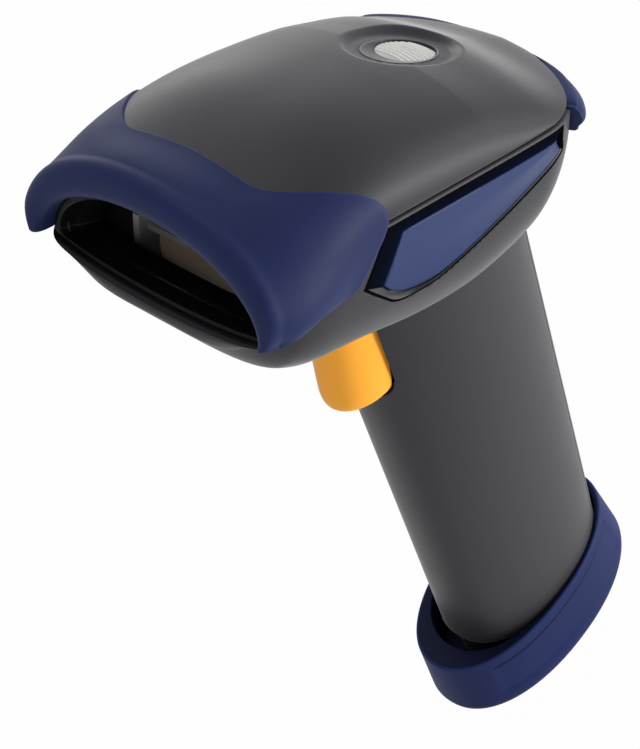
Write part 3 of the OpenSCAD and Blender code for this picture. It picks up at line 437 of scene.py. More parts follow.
def with_lips(p, y, edge):
    """Rows of a shell with the lip of the seam added at both ends."""
    x = np.abs(p[:, :1, 0])
    left = [stack(np.maximum(x - inset, 0), y, edge * k) for inset, k in SEAM_LIP]
    return np.concatenate([*left, p, *(q * [-1, 1, 1] for q in left[::-1])], 1)


class Skin:
    """Collects grids of points, in millimetres of the row frame, into one mesh."""

    def __init__(self):
        self.points, self.faces, self.finish, self.rim, self.count = [], [], [], [], 0

    def grid(self, p, wrap=False, finish=0, rim=None):
        r, c = p.shape[:2]
        index = np.arange(r * c).reshape(r, c) + self.count
        if wrap:
            index = np.concatenate([index, index[:, :1]], 1)
        quads = np.stack([index[:-1, :-1], index[:-1, 1:], index[1:, 1:], index[1:, :-1]], -1).reshape(-1, 4)
        self.points.append(p.reshape(-1, 3))
        self.rim.append(np.zeros(r * c) if rim is None else np.broadcast_to(rim, (r, c)).reshape(-1))
        self.faces.append(quads)
        self.finish.append(np.full(len(quads), finish))
        self.count += r * c
        return self

    def build(self, name, materials, sharp=45.0):
        mesh = bpy.data.meshes.new(name)
        mesh.from_pydata((np.concatenate(self.points) * MM).tolist(), [], np.concatenate(self.faces).tolist())
        mesh.polygons.foreach_set("material_index", np.concatenate(self.finish).astype(np.int32))
        rim = mesh.attributes.new("rim", "FLOAT", "POINT")
        rim.data.foreach_set("value", np.concatenate(self.rim).astype(np.float32))
        for m in materials:
            mesh.materials.append(m)
        return finish_mesh(name, mesh, sharp)


def finish_mesh(name, mesh, sharp=45.0):
    """Merges doubles, points the faces outwards, shades smooth and links the object."""
    bm = bmesh.new()
    bm.from_mesh(mesh)
    bmesh.ops.remove_doubles(bm, verts=bm.verts, dist=4e-6)
    bmesh.ops.dissolve_degenerate(bm, edges=bm.edges, dist=1e-7)
    bmesh.ops.recalc_face_normals(bm, faces=bm.faces)
    bm.to_mesh(mesh)
    bm.free()
    mesh.polygons.foreach_set("use_smooth", np.ones(len(mesh.polygons), bool))
    mesh.set_sharp_from_angle(angle=math.radians(sharp))
    obj = bpy.data.objects.new(name, mesh)
    bpy.context.scene.collection.objects.link(obj)
    return obj


def seat(obj, body, slot, *nodes):
    """The piece rides on a body and stands for solids of the model, which it hides. The slot is not used."""
    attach(obj, body)
    if nodes:
        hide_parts(*nodes)
    return obj


class Sock:
    """A socket of a shader tree, so that shader maths reads as arithmetic."""

    def __init__(self, finish, socket):
        self.finish, self.socket = finish, socket

    def _math(self, operation, *values):
        return self.finish.node("ShaderNodeMath", {"operation": operation}, dict(enumerate(values)))

    def __add__(self, other):
        return self._math("ADD", self, other)

    def __sub__(self, other):
        return self._math("SUBTRACT", self, other)

    def __rsub__(self, other):
        return self._math("SUBTRACT", other, self)

    def __mul__(self, other):
        return self._math("MULTIPLY", self, other)

    __radd__ = __add__
    __rmul__ = __mul__

    def clip(self):
        return self.finish.node("ShaderNodeClamp", {}, {0: self})


class Tree:
    """A shader tree under construction."""

    def __init__(self, tree):
        self.tree = tree

    def node(self, kind, settings, inputs, output=0):
        made = self.tree.nodes.new(kind)
        for key, value in settings.items():
            setattr(made, key, value)
        for key, value in inputs.items():
            if isinstance(value, Sock):
                self.tree.links.new(value.socket, made.inputs[key])
            else:
                made.inputs[key].default_value = value
        return Sock(self, made.outputs[output])

    def seen(self):
        """1 on the rays that see the white surroundings: the camera's, glossy and transmitted ones."""
        path = "ShaderNodeLightPath"
        seen = self.node(path, {}, {}, "Is Camera Ray")
        for ray in ("Is Glossy Ray", "Is Transmission Ray"):
            seen = self.node("ShaderNodeMath", {"operation": "MAXIMUM"}, {0: seen, 1: self.node(path, {}, {}, ray)})
        return seen


class Finish(Tree):
    """A material under construction, with its Principled shader and Object coordinates."""

    def __init__(self, name):
        self.material = bpy.data.materials.new(name)
        self.material.use_nodes = True
        super().__init__(self.material.node_tree)
        self.shader = self.tree.nodes["Principled BSDF"]
        self.place = self.node("ShaderNodeTexCoord", {}, {}, "Object")

    def noise(self, scale, detail=3.0, rough=0.55):
        return self.node("ShaderNodeTexNoise", {}, {"Vector": self.place, "Scale": scale, "Detail": detail,
                                                    "Roughness": rough})

    def rim(self):
        return self.node("ShaderNodeAttribute", {"attribute_name": "rim"}, {}, "Fac")

    def blend(self, factor, a, b):
        """Mix of two colours."""
        inputs = {0: factor}
        for key, value in ((6, a), (7, b)):
            inputs[key] = value if isinstance(value, Sock) else (*value, 1)
        return self.node("ShaderNodeMix", {"data_type": "RGBA"}, inputs, 2)

    def set(self, **values):
        """Values or links of the Principled shader's sockets, with _ for a space."""
        for key, value in values.items():
            socket = self.shader.inputs[key.replace("_", " ")]
            if isinstance(value, Sock):
                self.tree.links.new(value.socket, socket)
            elif socket.type == "RGBA":
                socket.default_value = (*value, 1)
            else:
                socket.default_value = value
        return self

    def bump(self, height, depth, strength=0.5):
        return self.node("ShaderNodeBump", {}, {"Height": height, "Distance": depth, "Strength": strength})


def tone(rgb, k):
    return tuple(min(c * k, 1.0) for c in rgb)


def grained(name, rgb, rough, grain=2600.0, depth=2e-5, wear_and_highlight_tone=1.5, spread=0.12, shine=0.5, sheen=0.0):
    """Moulded plastic or rubber: fine grain and cloudy tone. The rim attribute lightens rubbed edges and painted
    highlights, and darkens groove lines and painted shade in recesses.
    """
    f = Finish(name)
    cloud = f.noise(45.0)
    fine = f.noise(grain, 2.0, 0.6)
    rim = f.rim()
    base = f.blend(cloud, tone(rgb, 1 - spread), tone(rgb, 1 + spread))
    # Positive rim lightens: rubbed edges, and painted highlights along the dish's edge and the indicator bezel's top.
    wear_and_painted_light = f.blend((rim * (cloud * 0.6 + 0.55)).clip(), base, tone(rgb, wear_and_highlight_tone))
    # Negative rim darkens toward near black: groove lines, and painted shade in pockets, slots, the boot and at the
    # grip's foot.
    dark = f.blend((rim * -1.0).clip(), wear_and_painted_light, (0.003, 0.003, 0.0035))
    f.set(Base_Color=dark, Roughness=(cloud * 0.14 + fine * 0.08 + (rough - 0.11)).clip(),
          Normal=f.bump(fine, depth), Specular_IOR_Level=shine, Sheen_Weight=sheen, Sheen_Roughness=0.35)
    return f.material


def metal(name, rgb, rough, scale=(900.0, 60.0, 900.0)):
    """Turned or drawn metal with fine lines and slight tarnish."""
    f = Finish(name)
    turned = f.node("ShaderNodeMapping", {}, {"Vector": f.place, "Scale": scale})
    lines = f.node("ShaderNodeTexNoise", {}, {"Vector": turned, "Scale": 1.0, "Detail": 2.0})
    cloud = f.noise(220.0)
    f.set(Base_Color=f.blend(cloud, tone(rgb, 0.82), tone(rgb, 1.08)), Metallic=1.0,
          Roughness=(lines * 0.2 + cloud * 0.1 + (rough - 0.15)).clip(), Normal=f.bump(lines, 1e-5))
    return f.material


def board_finish(name):
    """Printed board: solder mask with copper tracks shining through."""
    f = Finish(name)
    turned = f.node("ShaderNodeMapping", {}, {"Vector": f.place, "Scale": (420.0, 420.0, 420.0)})
    tracks = f.node("ShaderNodeTexBrick", {"offset": 0.5}, {"Vector": turned, "Scale": 1.0, "Mortar Size": 0.16}, 1)
    cloud = f.noise(160.0)
    f.set(Base_Color=f.blend(tracks, f.blend(cloud, (0.012, 0.075, 0.03), (0.02, 0.11, 0.045)), (0.03, 0.16, 0.06)),
          Roughness=(cloud * 0.15 + 0.3).clip(), Normal=f.bump(tracks, 2e-5))
    return f.material


def glass_finish(name):
    """Tinted exit window: see-through, glossy, with a faint haze of dust."""
    f = Finish(name)
    dust = f.noise(900.0)
    facing = f.node("ShaderNodeLayerWeight", {}, {"Blend": 0.25}, "Facing")
    f.set(Base_Color=(0.02, 0.012, 0.014), Roughness=(dust * 0.08 + 0.02).clip(), IOR=1.5,
          Alpha=(facing * 0.3 + dust * 0.05 + 0.05).clip())
    return f.material


def make_finishes(c):
    """All finishes by name."""
    return {
        "shell": grained("shell_satin", c.shell, 0.42, depth=3e-5, wear_and_highlight_tone=1.35, spread=0.07, shine=0.16, sheen=0.3),
        # High rim values on the bezel brighten it strongly: a painted highlight along its raised top.
        "bezel": grained("bezel_satin", tone(c.shell, 1.25), 0.4, depth=2e-5, wear_and_highlight_tone=4.5, spread=0.07, shine=0.15,
                         sheen=0.3),
        "bumper": grained("bumper_soft_blue", c.bumper, 0.52, depth=2.5e-5, wear_and_highlight_tone=1.5, spread=0.1, shine=0.08,
                          sheen=0.05),
        "panel": grained("panel_blue", c.panel, 0.5, depth=2e-5, wear_and_highlight_tone=1.4, spread=0.07, shine=0.15),
        "frame": grained("frame_black", tone(c.panel, 0.13), 0.42, depth=1e-5, wear_and_highlight_tone=3.0, spread=0.15, shine=0.0),
        "boot": grained("boot_navy_rubber", c.boot, 0.52, grain=2000.0, depth=3e-5, wear_and_highlight_tone=1.6, spread=0.14,
                        shine=0.05),
        "trigger": grained("trigger_orange", c.trigger, 0.45, depth=1.5e-5, wear_and_highlight_tone=1.06, spread=0.04, shine=0.15),
        "lens": grained("lens_milky", c.lens, 0.4, depth=8e-6, wear_and_highlight_tone=1.1, spread=0.04, shine=0.15),
        "liner": grained("liner_black_gloss", tone(c.black, 0.4), 0.25, depth=6e-6, wear_and_highlight_tone=3.5, spread=0.2, shine=0.08),
        "sole": grained("sole_black_rubber", tone(c.black, 1.6), 0.7, grain=1400.0, depth=5e-5, wear_and_highlight_tone=1.5),
        "black": grained("part_black_plastic", tone(c.black, 0.8), 0.4, wear_and_highlight_tone=2.0, shine=0.1),
        "chassis": grained("chassis_pale_grey", (0.42, 0.42, 0.41), 0.5, wear_and_highlight_tone=1.15),
        "ribbon": grained("ribbon_pale_film", (0.55, 0.55, 0.5), 0.35, wear_and_highlight_tone=1.1),
        "steel": metal("steel_bright", (0.62, 0.62, 0.63), 0.3),
        "brass": metal("brass_barrel", (0.75, 0.55, 0.25), 0.32),
        "copper": metal("copper_winding", (0.72, 0.36, 0.16), 0.4, (60.0, 1800.0, 60.0)),
        "mirror": grained("mirror_warm_coating", c.mirror, 0.3, depth=4e-6, wear_and_highlight_tone=1.1, spread=0.06),
        "board": board_finish("board_green_mask"),
        "window": glass_finish("window_tinted"),
    }


FINISHES = {}


class ScannerPiece:
    """What the operators that make pieces share."""

    bl_options = {"REGISTER", "UNDO"}

    @staticmethod
    def form(context):
        return Form(context.scene.scanner_sizes)


class OBJECT_OT_scanner_finishes(ScannerPiece, bpy.types.Operator):
    """Make the finishes of all pieces and give the inner solids theirs"""

    bl_idname = "object.scanner_finishes"
    bl_label = "Finishes"

    inner = {
        "sole": ("sole_plate",),
        "black": ("beeper", "photo_detector", "cable_socket", "switch_body"),
        "chassis": ("engine_chassis", "switch_plunger"),
        "board": ("indicator_board", "engine_board", "main_board"),
        "steel": ("mirror_spindle", "scan_mirror", "mirror_magnet", "engine_screws", "board_screws", "trigger_pin",
                  "housing_screws", "sole_screws"),
        "brass": ("laser_module",),
        "copper": ("drive_coil",),
        "mirror": ("collecting_mirror",),
        "ribbon": ("ribbon_cable",),
    }

    def execute(self, context):
        FINISHES.update(make_finishes(context.scene.scanner_colours))
        for finish, nodes in self.inner.items():
            for node in nodes:
                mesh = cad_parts[node].data
                mesh.materials.clear()
                mesh.materials.append(FINISHES[finish])
        return {"FINISHED"}


class OBJECT_OT_scanner_dome(ScannerPiece, bpy.types.Operator):
    """Make the dome with the dish for the indicator"""

    bl_idname = "object.scanner_dome"
    bl_label = "Dome"

    def execute(self, context):
        f = self.form(context)
        y = f.rows(f.dome_front, 60, 0.5)[:, None]
        n = curve(DOME_SQUARE, f.station(y))
        half, top = f.head_half(y), f.dome_top(y)
        edge = np.minimum(f.seam_edge, 0.5 * top)
        start = np.arctan2(edge, np.maximum(top, 1e-6))
        phi = mix(start, math.pi - start, np.linspace(0, 1, 170)[None, :])
        c, s = polar(phi, n)
        p = stack(half * c, y, top * s)
        d = f.head_to_dish(p)
        out = f.oval_gap(d, f.dish_half, f.dish_len)
        wall = (out + f.dish_wall) / f.dish_wall * (f.dish_depth + f.dish_soft)
        bowl = -soft_min(-wall, 0, f.dish_soft) - f.dish_depth + np.maximum(out, 0) * f.dish_steep
        hole = ease(-f.oval_gap(d, f.well_half, f.well_len) / f.hole_edge)
        low = soft_min(d[..., 2], bowl, f.dish_edge) - f.hole_depth * hole
        p = f.dish_to_head(stack(d[..., 0], d[..., 1], np.where(out < f.dish_reach, low, d[..., 2])))
        shell = with_lips(p, y, edge)
        rim = np.zeros(shell.shape[:2])
        rim[:, 2:5] = rim[:, -5:-2] = 0.35
        # Painted highlight along the edge of the dish round the indicator.
        rim[:, 3:-3] += 0.6 * np.exp(-((out - 0.1) / 0.3) ** 2)
        skin = Skin().grid(f.head_to_row(shell), rim=rim)
        seat(skin.build("dome", [FINISHES["shell"]], 60), "housing", "shell", "upper_shell")
        return {"FINISHED"}


class OBJECT_OT_scanner_housing(ScannerPiece, bpy.types.Operator):
    """Make the tub with its jaw, the grip with its fillet, and the grip's back cover"""

    bl_idname = "object.scanner_housing"
    bl_label = "Tub and grip"

    def execute(self, context):
        f = self.form(context)
        skin = Skin()
        self.tub(f, skin)
        self.grip(f, skin)
        obj = skin.build("lower_shell", [FINISHES["shell"], FINISHES["black"]], 50)
        seat(obj, "housing", "shell", "lower_housing")
        self.cover(f)
        return {"FINISHED"}

    @staticmethod
    def tub(f, skin):
        y = f.rows(f.jaw_edge, 54, 0.6)[:, None]
        n = curve(TUB_SQUARE, f.station(y))
        half, low = f.head_half(y), f.tub_low(y)
        edge = np.minimum(f.seam_edge, 0.5 * low)
        start = np.arctan2(edge, np.maximum(low, 1e-6))
        phi = mix(start, math.pi - start, np.linspace(0, 1, 240)[None, :])
        c, s = polar(phi, n)
        share = f.jaw_bow * ease(np.clip(-y / f.front - f.bow_start, 0, 1) / (1 - f.bow_start)) * np.abs(c) ** n
        p = stack(half * c, y + share, -low * s)
        deep = outline_distance(f.panel_loop(f.panel_line, f.panel_bevel, 40), p[..., 1:])
        pocket = ease((deep + f.pocket_edge) / f.pocket_round) * (np.abs(c) > 0.6)
        p[..., 0] -= np.sign(p[..., 0]) * f.pocket_depth * pocket
        slot = f.slot_share(f.head_to_grip(p)) * (s > 0.6)
        p[..., 2] += f.slot_cut * slot
        # Painted shade: the tub is darkened in the panel's pocket and in the trigger's slot.
        rim = -np.maximum(pocket, slot)
        edge_rim = np.zeros((len(y), 3)) + [0.2, 0.35, 0.35]
        skin.grid(f.head_to_row(with_lips(p, y + share[:, :1], -edge)),
                  rim=np.concatenate([edge_rim, rim, edge_rim[:, ::-1]], 1))
        # The tub's grey tongue showing in the seam takes the black finish: painted shade in the seam's groove.
        for side in (1, -1):
            seam_shade_band = np.concatenate([stack(side * np.maximum(half - f.seam_bed, 0), y, z) for z in
                                   (np.minimum(0.5, 0.1 * f.dome_top(y)), -edge)], 1)
            skin.grid(f.head_to_row(seam_shade_band), finish=1)
        front = p[-1]
        turn = np.clip(np.arctan2(-(front[:, 2] + f.corner), front[:, 0]), 0, math.pi)
        turn = np.where((front[:, 0] < 0) & (front[:, 2] > -f.corner), math.pi, turn)
        rows = [front]
        for inset, step in ((0.35, 0.85), (1.2, 1.2)):
            rows.append(stack(front[:, 0] * (1 - inset / 30), front[:, 1] - step, front[:, 2] + inset * np.sin(turn)))
        for grow, step in ((0.8, 1.2), (0.2, 0.8), (0.05, 0.0), (0.05, -2.0)):
            q = f.leaf(f.jaw_y, -turn, grow)
            rows.append(stack(q[:, 0], front[:, 1] - step, q[:, 2]))
        jaw = np.stack(rows)
        skin.grid(f.head_to_row(jaw[:4]), rim=np.array([0, 0.1, 0.2, 0])[:, None])
        # The jaw's inner rows take the black finish: painted shade inside the mouth's rim.
        skin.grid(f.head_to_row(jaw[3:]), finish=1, rim=0.0)

    @staticmethod
    def grip_top(f, phi):
        low, high = np.full(phi.shape, f.neck_low), np.full(phi.shape, f.neck_high)
        for _ in range(30):
            z = (low + high) / 2
            inside = f.in_tub(f.grip_point(z, phi))
            high, low = np.where(inside, z, high), np.where(inside, low, z)
        return low

    def grip(self, f, skin):
        phi = np.linspace(-math.pi, math.pi, 257)[:-1]
        meet = self.grip_top(f, phi)
        for _ in range(6):
            meet = (np.roll(meet, 1) + 2 * meet + np.roll(meet, -1)) / 4
        u = np.concatenate([np.linspace(0, 0.72, 90), np.linspace(0.72, 1, 70)[1:]])[:, None]
        z = mix(f.grip_foot + 0.6, meet[None, :] + 1.5, u)
        reach = f.fillet * mix(1.0, f.fillet_rear, ease((np.sin(phi) - 0.2) / 0.6))
        t = np.clip((z - meet + reach) / reach, 0, 1)
        flare = reach * (1 - np.sqrt(1 - np.minimum(t, 0.995) ** 2))
        p = f.grip_point(z, phi[None, :], flare)
        slot = f.slot_share(p) * (np.sin(phi) < -0.4)
        p[..., 1] += f.slot_cut * slot
        edge = math.radians(90 - f.cover_turn) - f.cover_gap
        span = np.minimum(phi - edge, math.pi - edge - phi)[None, :] * f.cover_radius
        level = np.minimum(z - f.cover_low + f.cover_edge, f.axis - f.cover_top + f.cover_edge - z)
        inset = ease((np.minimum(span, level) + 0.2) / 0.4)
        c, s = np.cos(phi), np.sin(phi)
        p[..., 0] -= f.cover_sink * inset * c
        p[..., 1] -= f.cover_sink * inset * s
        foot = [f.grip_point(f.grip_foot + dz, phi, g)
                for g, dz in ((-f.neck_step - 0.4, 0.0), (-0.5, 0.0), (-0.15, 0.15))]
        neck = f.grip_point(f.boot_floor, phi, -f.neck_step)
        neck[:, 2] += f.foot_slope * neck[:, 1]
        collar = f.grip_point(f.grip_foot + 0.1, phi, -f.neck_step)
        # Painted shade: the grip darkens toward its foot, on the foot rows, in the trigger's slot and round the back
        # cover's recess.
        grime = f.foot_grime * np.exp((f.grip_foot - z) / f.grime_reach)
        foot_rim = np.tile([[0.0], [-0.2], [-0.3]], (1, len(phi)))
        rim = np.concatenate([foot_rim, -np.maximum(np.maximum(slot, inset), grime)], 0)
        skin.grid(f.grip_to_row(np.concatenate([np.stack(foot), p], 0)), wrap=True, rim=rim)
        # The neck inside the boot is darkened as painted shade.
        skin.grid(f.grip_to_row(np.stack([neck, mix(neck, collar, 0.5), collar])), wrap=True,
                  rim=np.array([-0.4, -0.2, -0.4])[:, None])

    @staticmethod
    def cover(f):
        a = math.radians(90 - f.cover_turn) + f.cover_gap
        phi = np.concatenate([[a, a, a + 0.012], np.linspace(a + 0.03, math.pi - a - 0.03, 90),
                              [math.pi - a - 0.012, math.pi - a, math.pi - a]])[None, :]
        low, high = f.cover_low + 0.1, f.axis - f.cover_top - 0.1
        z = np.concatenate([[low, low, low + 0.2], np.linspace(low + 0.5, high - 0.5, 120),
                            [high - 0.2, high, high]])[:, None]
        ends = np.array([2.0, 0.25, 0.06])
        across = np.concatenate([ends, np.zeros(90), ends[::-1]])[None, :]
        along = np.concatenate([ends, np.zeros(120), ends[::-1]])[:, None]
        sink = np.maximum(across, along)
        p = f.grip_point(z, phi, -sink)
        skin = Skin().grid(f.grip_to_row(p), rim=0.5 * (sink == 0.06))
        seat(skin.build("back_cover", [FINISHES["shell"]], 50), "housing", "shell", "grip_back_cover")


class OBJECT_OT_scanner_bumpers(ScannerPiece, bpy.types.Operator):
    """Make the nose bumper with its lip and the rear bumper"""

    bl_idname = "object.scanner_bumpers"
    bl_label = "Bumpers"

    def execute(self, context):
        f = self.form(context)
        seat(self.nose(f), "housing", "soft_blue", "nose_bumper")
        seat(self.tail(f), "housing", "soft_blue", "rear_bumper")
        return {"FINISHED"}

    @staticmethod
    def nose(f):
        a = np.linspace(0, 180, 151)[:, None]
        rear = f.nose_rear(a)
        profile = [f.nose_base(rear, a, g) for g in (-f.bumper_bed, 0.0, 0.3)]
        profile.append(f.nose_base(rear - 0.12, a, f.edge_raise - 0.05))
        outer, inner = f.hood(f.hood_y, a), f.arch_point(f.hood_y, a)
        front = outer - f.nose_base(f.hood_y, a, f.edge_raise)
        for u in np.linspace(0.02, 1, 34):
            profile.append(f.nose_base(mix(rear, f.hood_y, u), a, f.edge_raise) + ease(u) * front)
        for t in np.linspace(0, math.pi, 25)[1:-1]:
            q = mix(inner, outer, 0.5 + 0.5 * bend(math.cos(t), 2.5))
            q[..., 1] -= (f.hood_y - f.jaw_y + f.lip_reach) * bend(math.sin(t), 2.5)
            profile.append(q)
        for y in np.linspace(f.hood_y, f.bed_y + 1.5, 8):
            profile.append(f.arch_point(y, a))
        p = np.concatenate(profile, 1)
        rim = np.zeros(p.shape[:2])
        rim[:, 1:5] = 0.6
        caps = []
        for end, row in ((p[0], p[1]), (p[-1], p[-2])):
            away = end - row
            away = (away / np.maximum(np.linalg.norm(away, axis=-1, keepdims=True), 1e-9)).mean(0)
            middle = (end + end[::-1]) / 2
            caps.append(np.stack([middle + (end - middle) * math.cos(t) + away * 0.5 * math.sin(t)
                                  for t in np.linspace(0, math.pi / 2, 7)[1:]]))
        plain = np.zeros(caps[0].shape[:2])
        skin = Skin().grid(f.head_to_row(np.concatenate([caps[0][::-1], p, caps[1]])),
                           rim=np.concatenate([plain, rim, plain]))
        return skin.build("nose_hood", [FINISHES["bumper"]], 55)

    @staticmethod
    def tail(f):
        turn = np.sin(np.linspace(-math.pi / 2, math.pi / 2, 161))[:, None]
        a = f.rear_turn * turn
        u = np.linspace(0, 1, 34)[None, :]
        reach = np.maximum(np.clip(1 - np.abs(turn) ** 24, 0, 1) ** 0.5, f.rear_end)
        level = f.rear_mid + reach * mix(-f.rear_low, f.rear_high + f.rear_lift * np.abs(turn), u)
        round_over = np.sin(math.pi * np.clip(u, 0.15, 0.93)) ** mix(1.5, 0.7, np.abs(turn))
        swell = f.rear_proud * mix(f.rear_thin, f.rear_thick, ease(np.abs(turn) / 0.85)) * (0.12 + 0.88 * round_over)
        edge = 0.5 * np.exp(-np.minimum(u, 1 - u) / 0.012)
        body = f.tail_point(a, level, (swell - edge) * (1 - f.rear_fade * np.abs(turn) ** 40))
        under = [f.tail_point(a, level[:, i], -f.bumper_bed) for i in (slice(0, 1), slice(-1, None))]
        p = np.concatenate([under[0], body, under[1]], 1)
        ends = [mix(p[i, :1], p[i, -1:], np.linspace(0, 1, p.shape[1])[:, None])[None] for i in (0, -1)]
        rim = np.zeros((p.shape[0] + 2, p.shape[1]))
        rim[:, 2:4] = rim[:, -4:-2] = 0.45
        skin = Skin().grid(f.head_to_row(np.concatenate([ends[0], p, ends[1]])), rim=rim)
        return skin.build("tail_bumper", [FINISHES["bumper"]], 40)


class OBJECT_OT_scanner_side_panels(ScannerPiece, bpy.types.Operator):
    """Make the blue side panels and their black bevelled frames"""

    bl_idname = "object.scanner_side_panels"
    bl_label = "Side panels"

    def execute(self, context):
        f = self.form(context)
        for side, name in ((1, "right"), (-1, "left")):
            seat(self.panel(f, side, name), "housing", "panel_blue", "side_panel_" + name)
            seat(self.bezel(f, side, name), "housing", "black", "panel_frame_" + name)
        return {"FINISHED"}

    @staticmethod
    def loop_points(f, loop, sink, side):
        p = f.side_point(loop[:, 0], loop[:, 1], 0.0)
        return stack(side * (p[:, 0] - sink), p[:, 1], p[:, 2])

    def panel(self, f, side, name):
        low, top = f.panel_edges(0.0, 0.0)
        v = np.concatenate([[0, 0, 0.012], np.linspace(0.03, 0.97, 26), [0.988, 1, 1]])
        flat = mix(low[None], top[None], v[:, None, None])
        first, last = mix(flat[:, :1], flat[:, 1:2], 0.2), mix(flat[:, -1:], flat[:, -2:-1], 0.2)
        flat = np.concatenate([flat[:, :1], flat[:, :1], first, flat[:, 1:-1], last, flat[:, -1:], flat[:, -1:]], 1)
        sink = f.panel_sink * f.panel_dip(flat)
        for ring in (np.s_[1], np.s_[-2], np.s_[:, 1], np.s_[:, -2]):
            sink[ring] += f.panel_round
        sink[0], sink[-1], sink[:, 0], sink[:, -1] = [f.panel_back] * 4
        p = self.loop_points(f, flat.reshape(-1, 2), sink.reshape(-1), side).reshape(*flat.shape[:2], 3)
        return Skin().grid(f.head_to_row(p)).build("panel_" + name, [FINISHES["panel"]], 50)

    def bezel(self, f, side, name):
        """The black bevel along top and nose, the grey sill below, and the dark line round both."""
        outer, inner = f.panel_loop(f.panel_line, f.panel_bevel), f.panel_loop(0.12, 0.12)
        line = f.panel_loop(f.panel_line + 0.5, f.panel_bevel + 0.5)
        sill = len(f.panel_edges(0.0, 0.0)[0]) + 1
        # The last value of each row is its rim value: the negative ones paint shade on the bevel's slope and deep in
        # the recess.
        rows = [(0.0, 0.02, 0), (0.12, 0.08, -0.8), (0.5, 0.52, -0.45), (0.96, 1.0, 0), (1.0, 1.15, -0.3),
                (1.0, f.panel_back, -1)]
        dip = f.panel_dip(inner)
        p = np.stack([self.loop_points(f, mix(outer, inner, u), sink * (dip if 0.1 < sink < f.panel_back else 1), side)
                      for u, sink, _ in rows])
        rim = np.array([wear_and_painted_light for _, _, wear_and_painted_light in rows])[:, None]
        skin = Skin()
        closed = np.concatenate([p[:, sill - 1:], p[:, :1]], 1)
        skin.grid(f.head_to_row(closed), rim=rim)
        # The grey sill is lighter at its outer edge and darkens toward the panel as painted shade.
        grey = np.array([0.4, 0.1, 0.0, -0.1, -0.8, -1.0])[:, None]
        skin.grid(f.head_to_row(p[:, :sill]), finish=1, rim=grey)
        ribbon = np.stack([self.loop_points(f, mix(line, outer, u), sink, side)
                           for u, sink in ((0.0, 0.06), (0.08, -0.025), (0.9, -0.02), (1.0, 0.3))])
        skin.grid(f.head_to_row(ribbon), wrap=True, rim=-1.0)
        return skin.build("panel_bevel_" + name, [FINISHES["frame"], FINISHES["shell"]], 40)


class OBJECT_OT_scanner_boot(ScannerPiece, bpy.types.Operator):
    """Make the rubber boot with its flat rim and pocket"""

    bl_idname = "object.scanner_boot"
    bl_label = "Base boot"

    def execute(self, context):
        f = self.form(context)
        phi = np.linspace(-math.pi, math.pi, 321)[:-1]
        rows, rim = [], []

        def ring(z, g, wear_and_painted_light=0.0):
            rows.append(f.boot_oval(z, phi, g))
            rim.append(wear_and_painted_light + 0 * phi)

        for t in np.linspace(0, math.pi / 2, 12):
            ring(f.sole_t + f.boot_round * (1 - math.cos(t)), f.boot_swell * math.sin(t) - f.boot_tuck)
        side = np.clip((math.radians(f.groove_turn) - np.minimum(np.abs(phi), math.pi - np.abs(phi))) / 0.1, 0, 1)
        line = f.boot_h - f.groove_drop
        for z in np.concatenate([np.linspace(f.sole_t + 3, line - 0.6, 34), np.linspace(line - 0.5, line + 0.5, 13),
                                 np.linspace(line + 0.6, f.boot_h - f.boot_rim, 10)]):
            cut = np.minimum(1.8 * np.exp(-((z - line) / f.groove_half) ** 2), 1) * ease(side)
            flat = f.boot_flat * ease((line - z) / 0.5) * ease((z - f.sole_t - 4) / 2) * ease(side)
            rise = (z - f.sole_t - f.boot_round) / (f.boot_h - f.sole_t - f.boot_round - f.boot_rim)
            draft = mix(f.boot_swell - f.boot_tuck, -f.boot_draft, rise)
            # The groove is darkened along its line as painted shade.
            ring(z, draft - f.groove_depth * cut - flat, -cut)
        for t in np.linspace(0, math.pi / 2, 7)[1:]:
            ring(f.boot_h - f.boot_rim + f.boot_rim * math.sin(t), f.boot_lip * (math.cos(t) - 1) - f.boot_draft, 0.5)
        # Painted shade on the rim's inner edge and down the pocket round the grip.
        ring(f.boot_h, -f.boot_draft - 0.75, -0.6)
        for grow, drop, wear_and_painted_light in ((0.35, 0.0, -0.6), (0.1, 0.1, 0.0), (0.0, 0.35, -0.4), (0.0, 6.0, -0.6),
                                 (0.0, f.boot_h - f.boot_floor, -0.6)):
            rows.append(f.boot_oval(f.boot_h - drop, phi, grow, f.boot_side, f.boot_toe, f.boot_heel))
            rim.append(wear_and_painted_light + 0 * phi)
        rows.append(rows[-1] * [0.02, 0.02, 1])
        rim.append(rim[-1])
        skin = Skin().grid(np.stack(rows), wrap=True, rim=np.stack(rim))
        skin.grid(np.stack([rows[0], rows[0] * [0.02, 0.02, 1]]), wrap=True)
        seat(skin.build("boot", [FINISHES["boot"]], 45), "housing", "boot_blue", "base_boot")
        return {"FINISHED"}


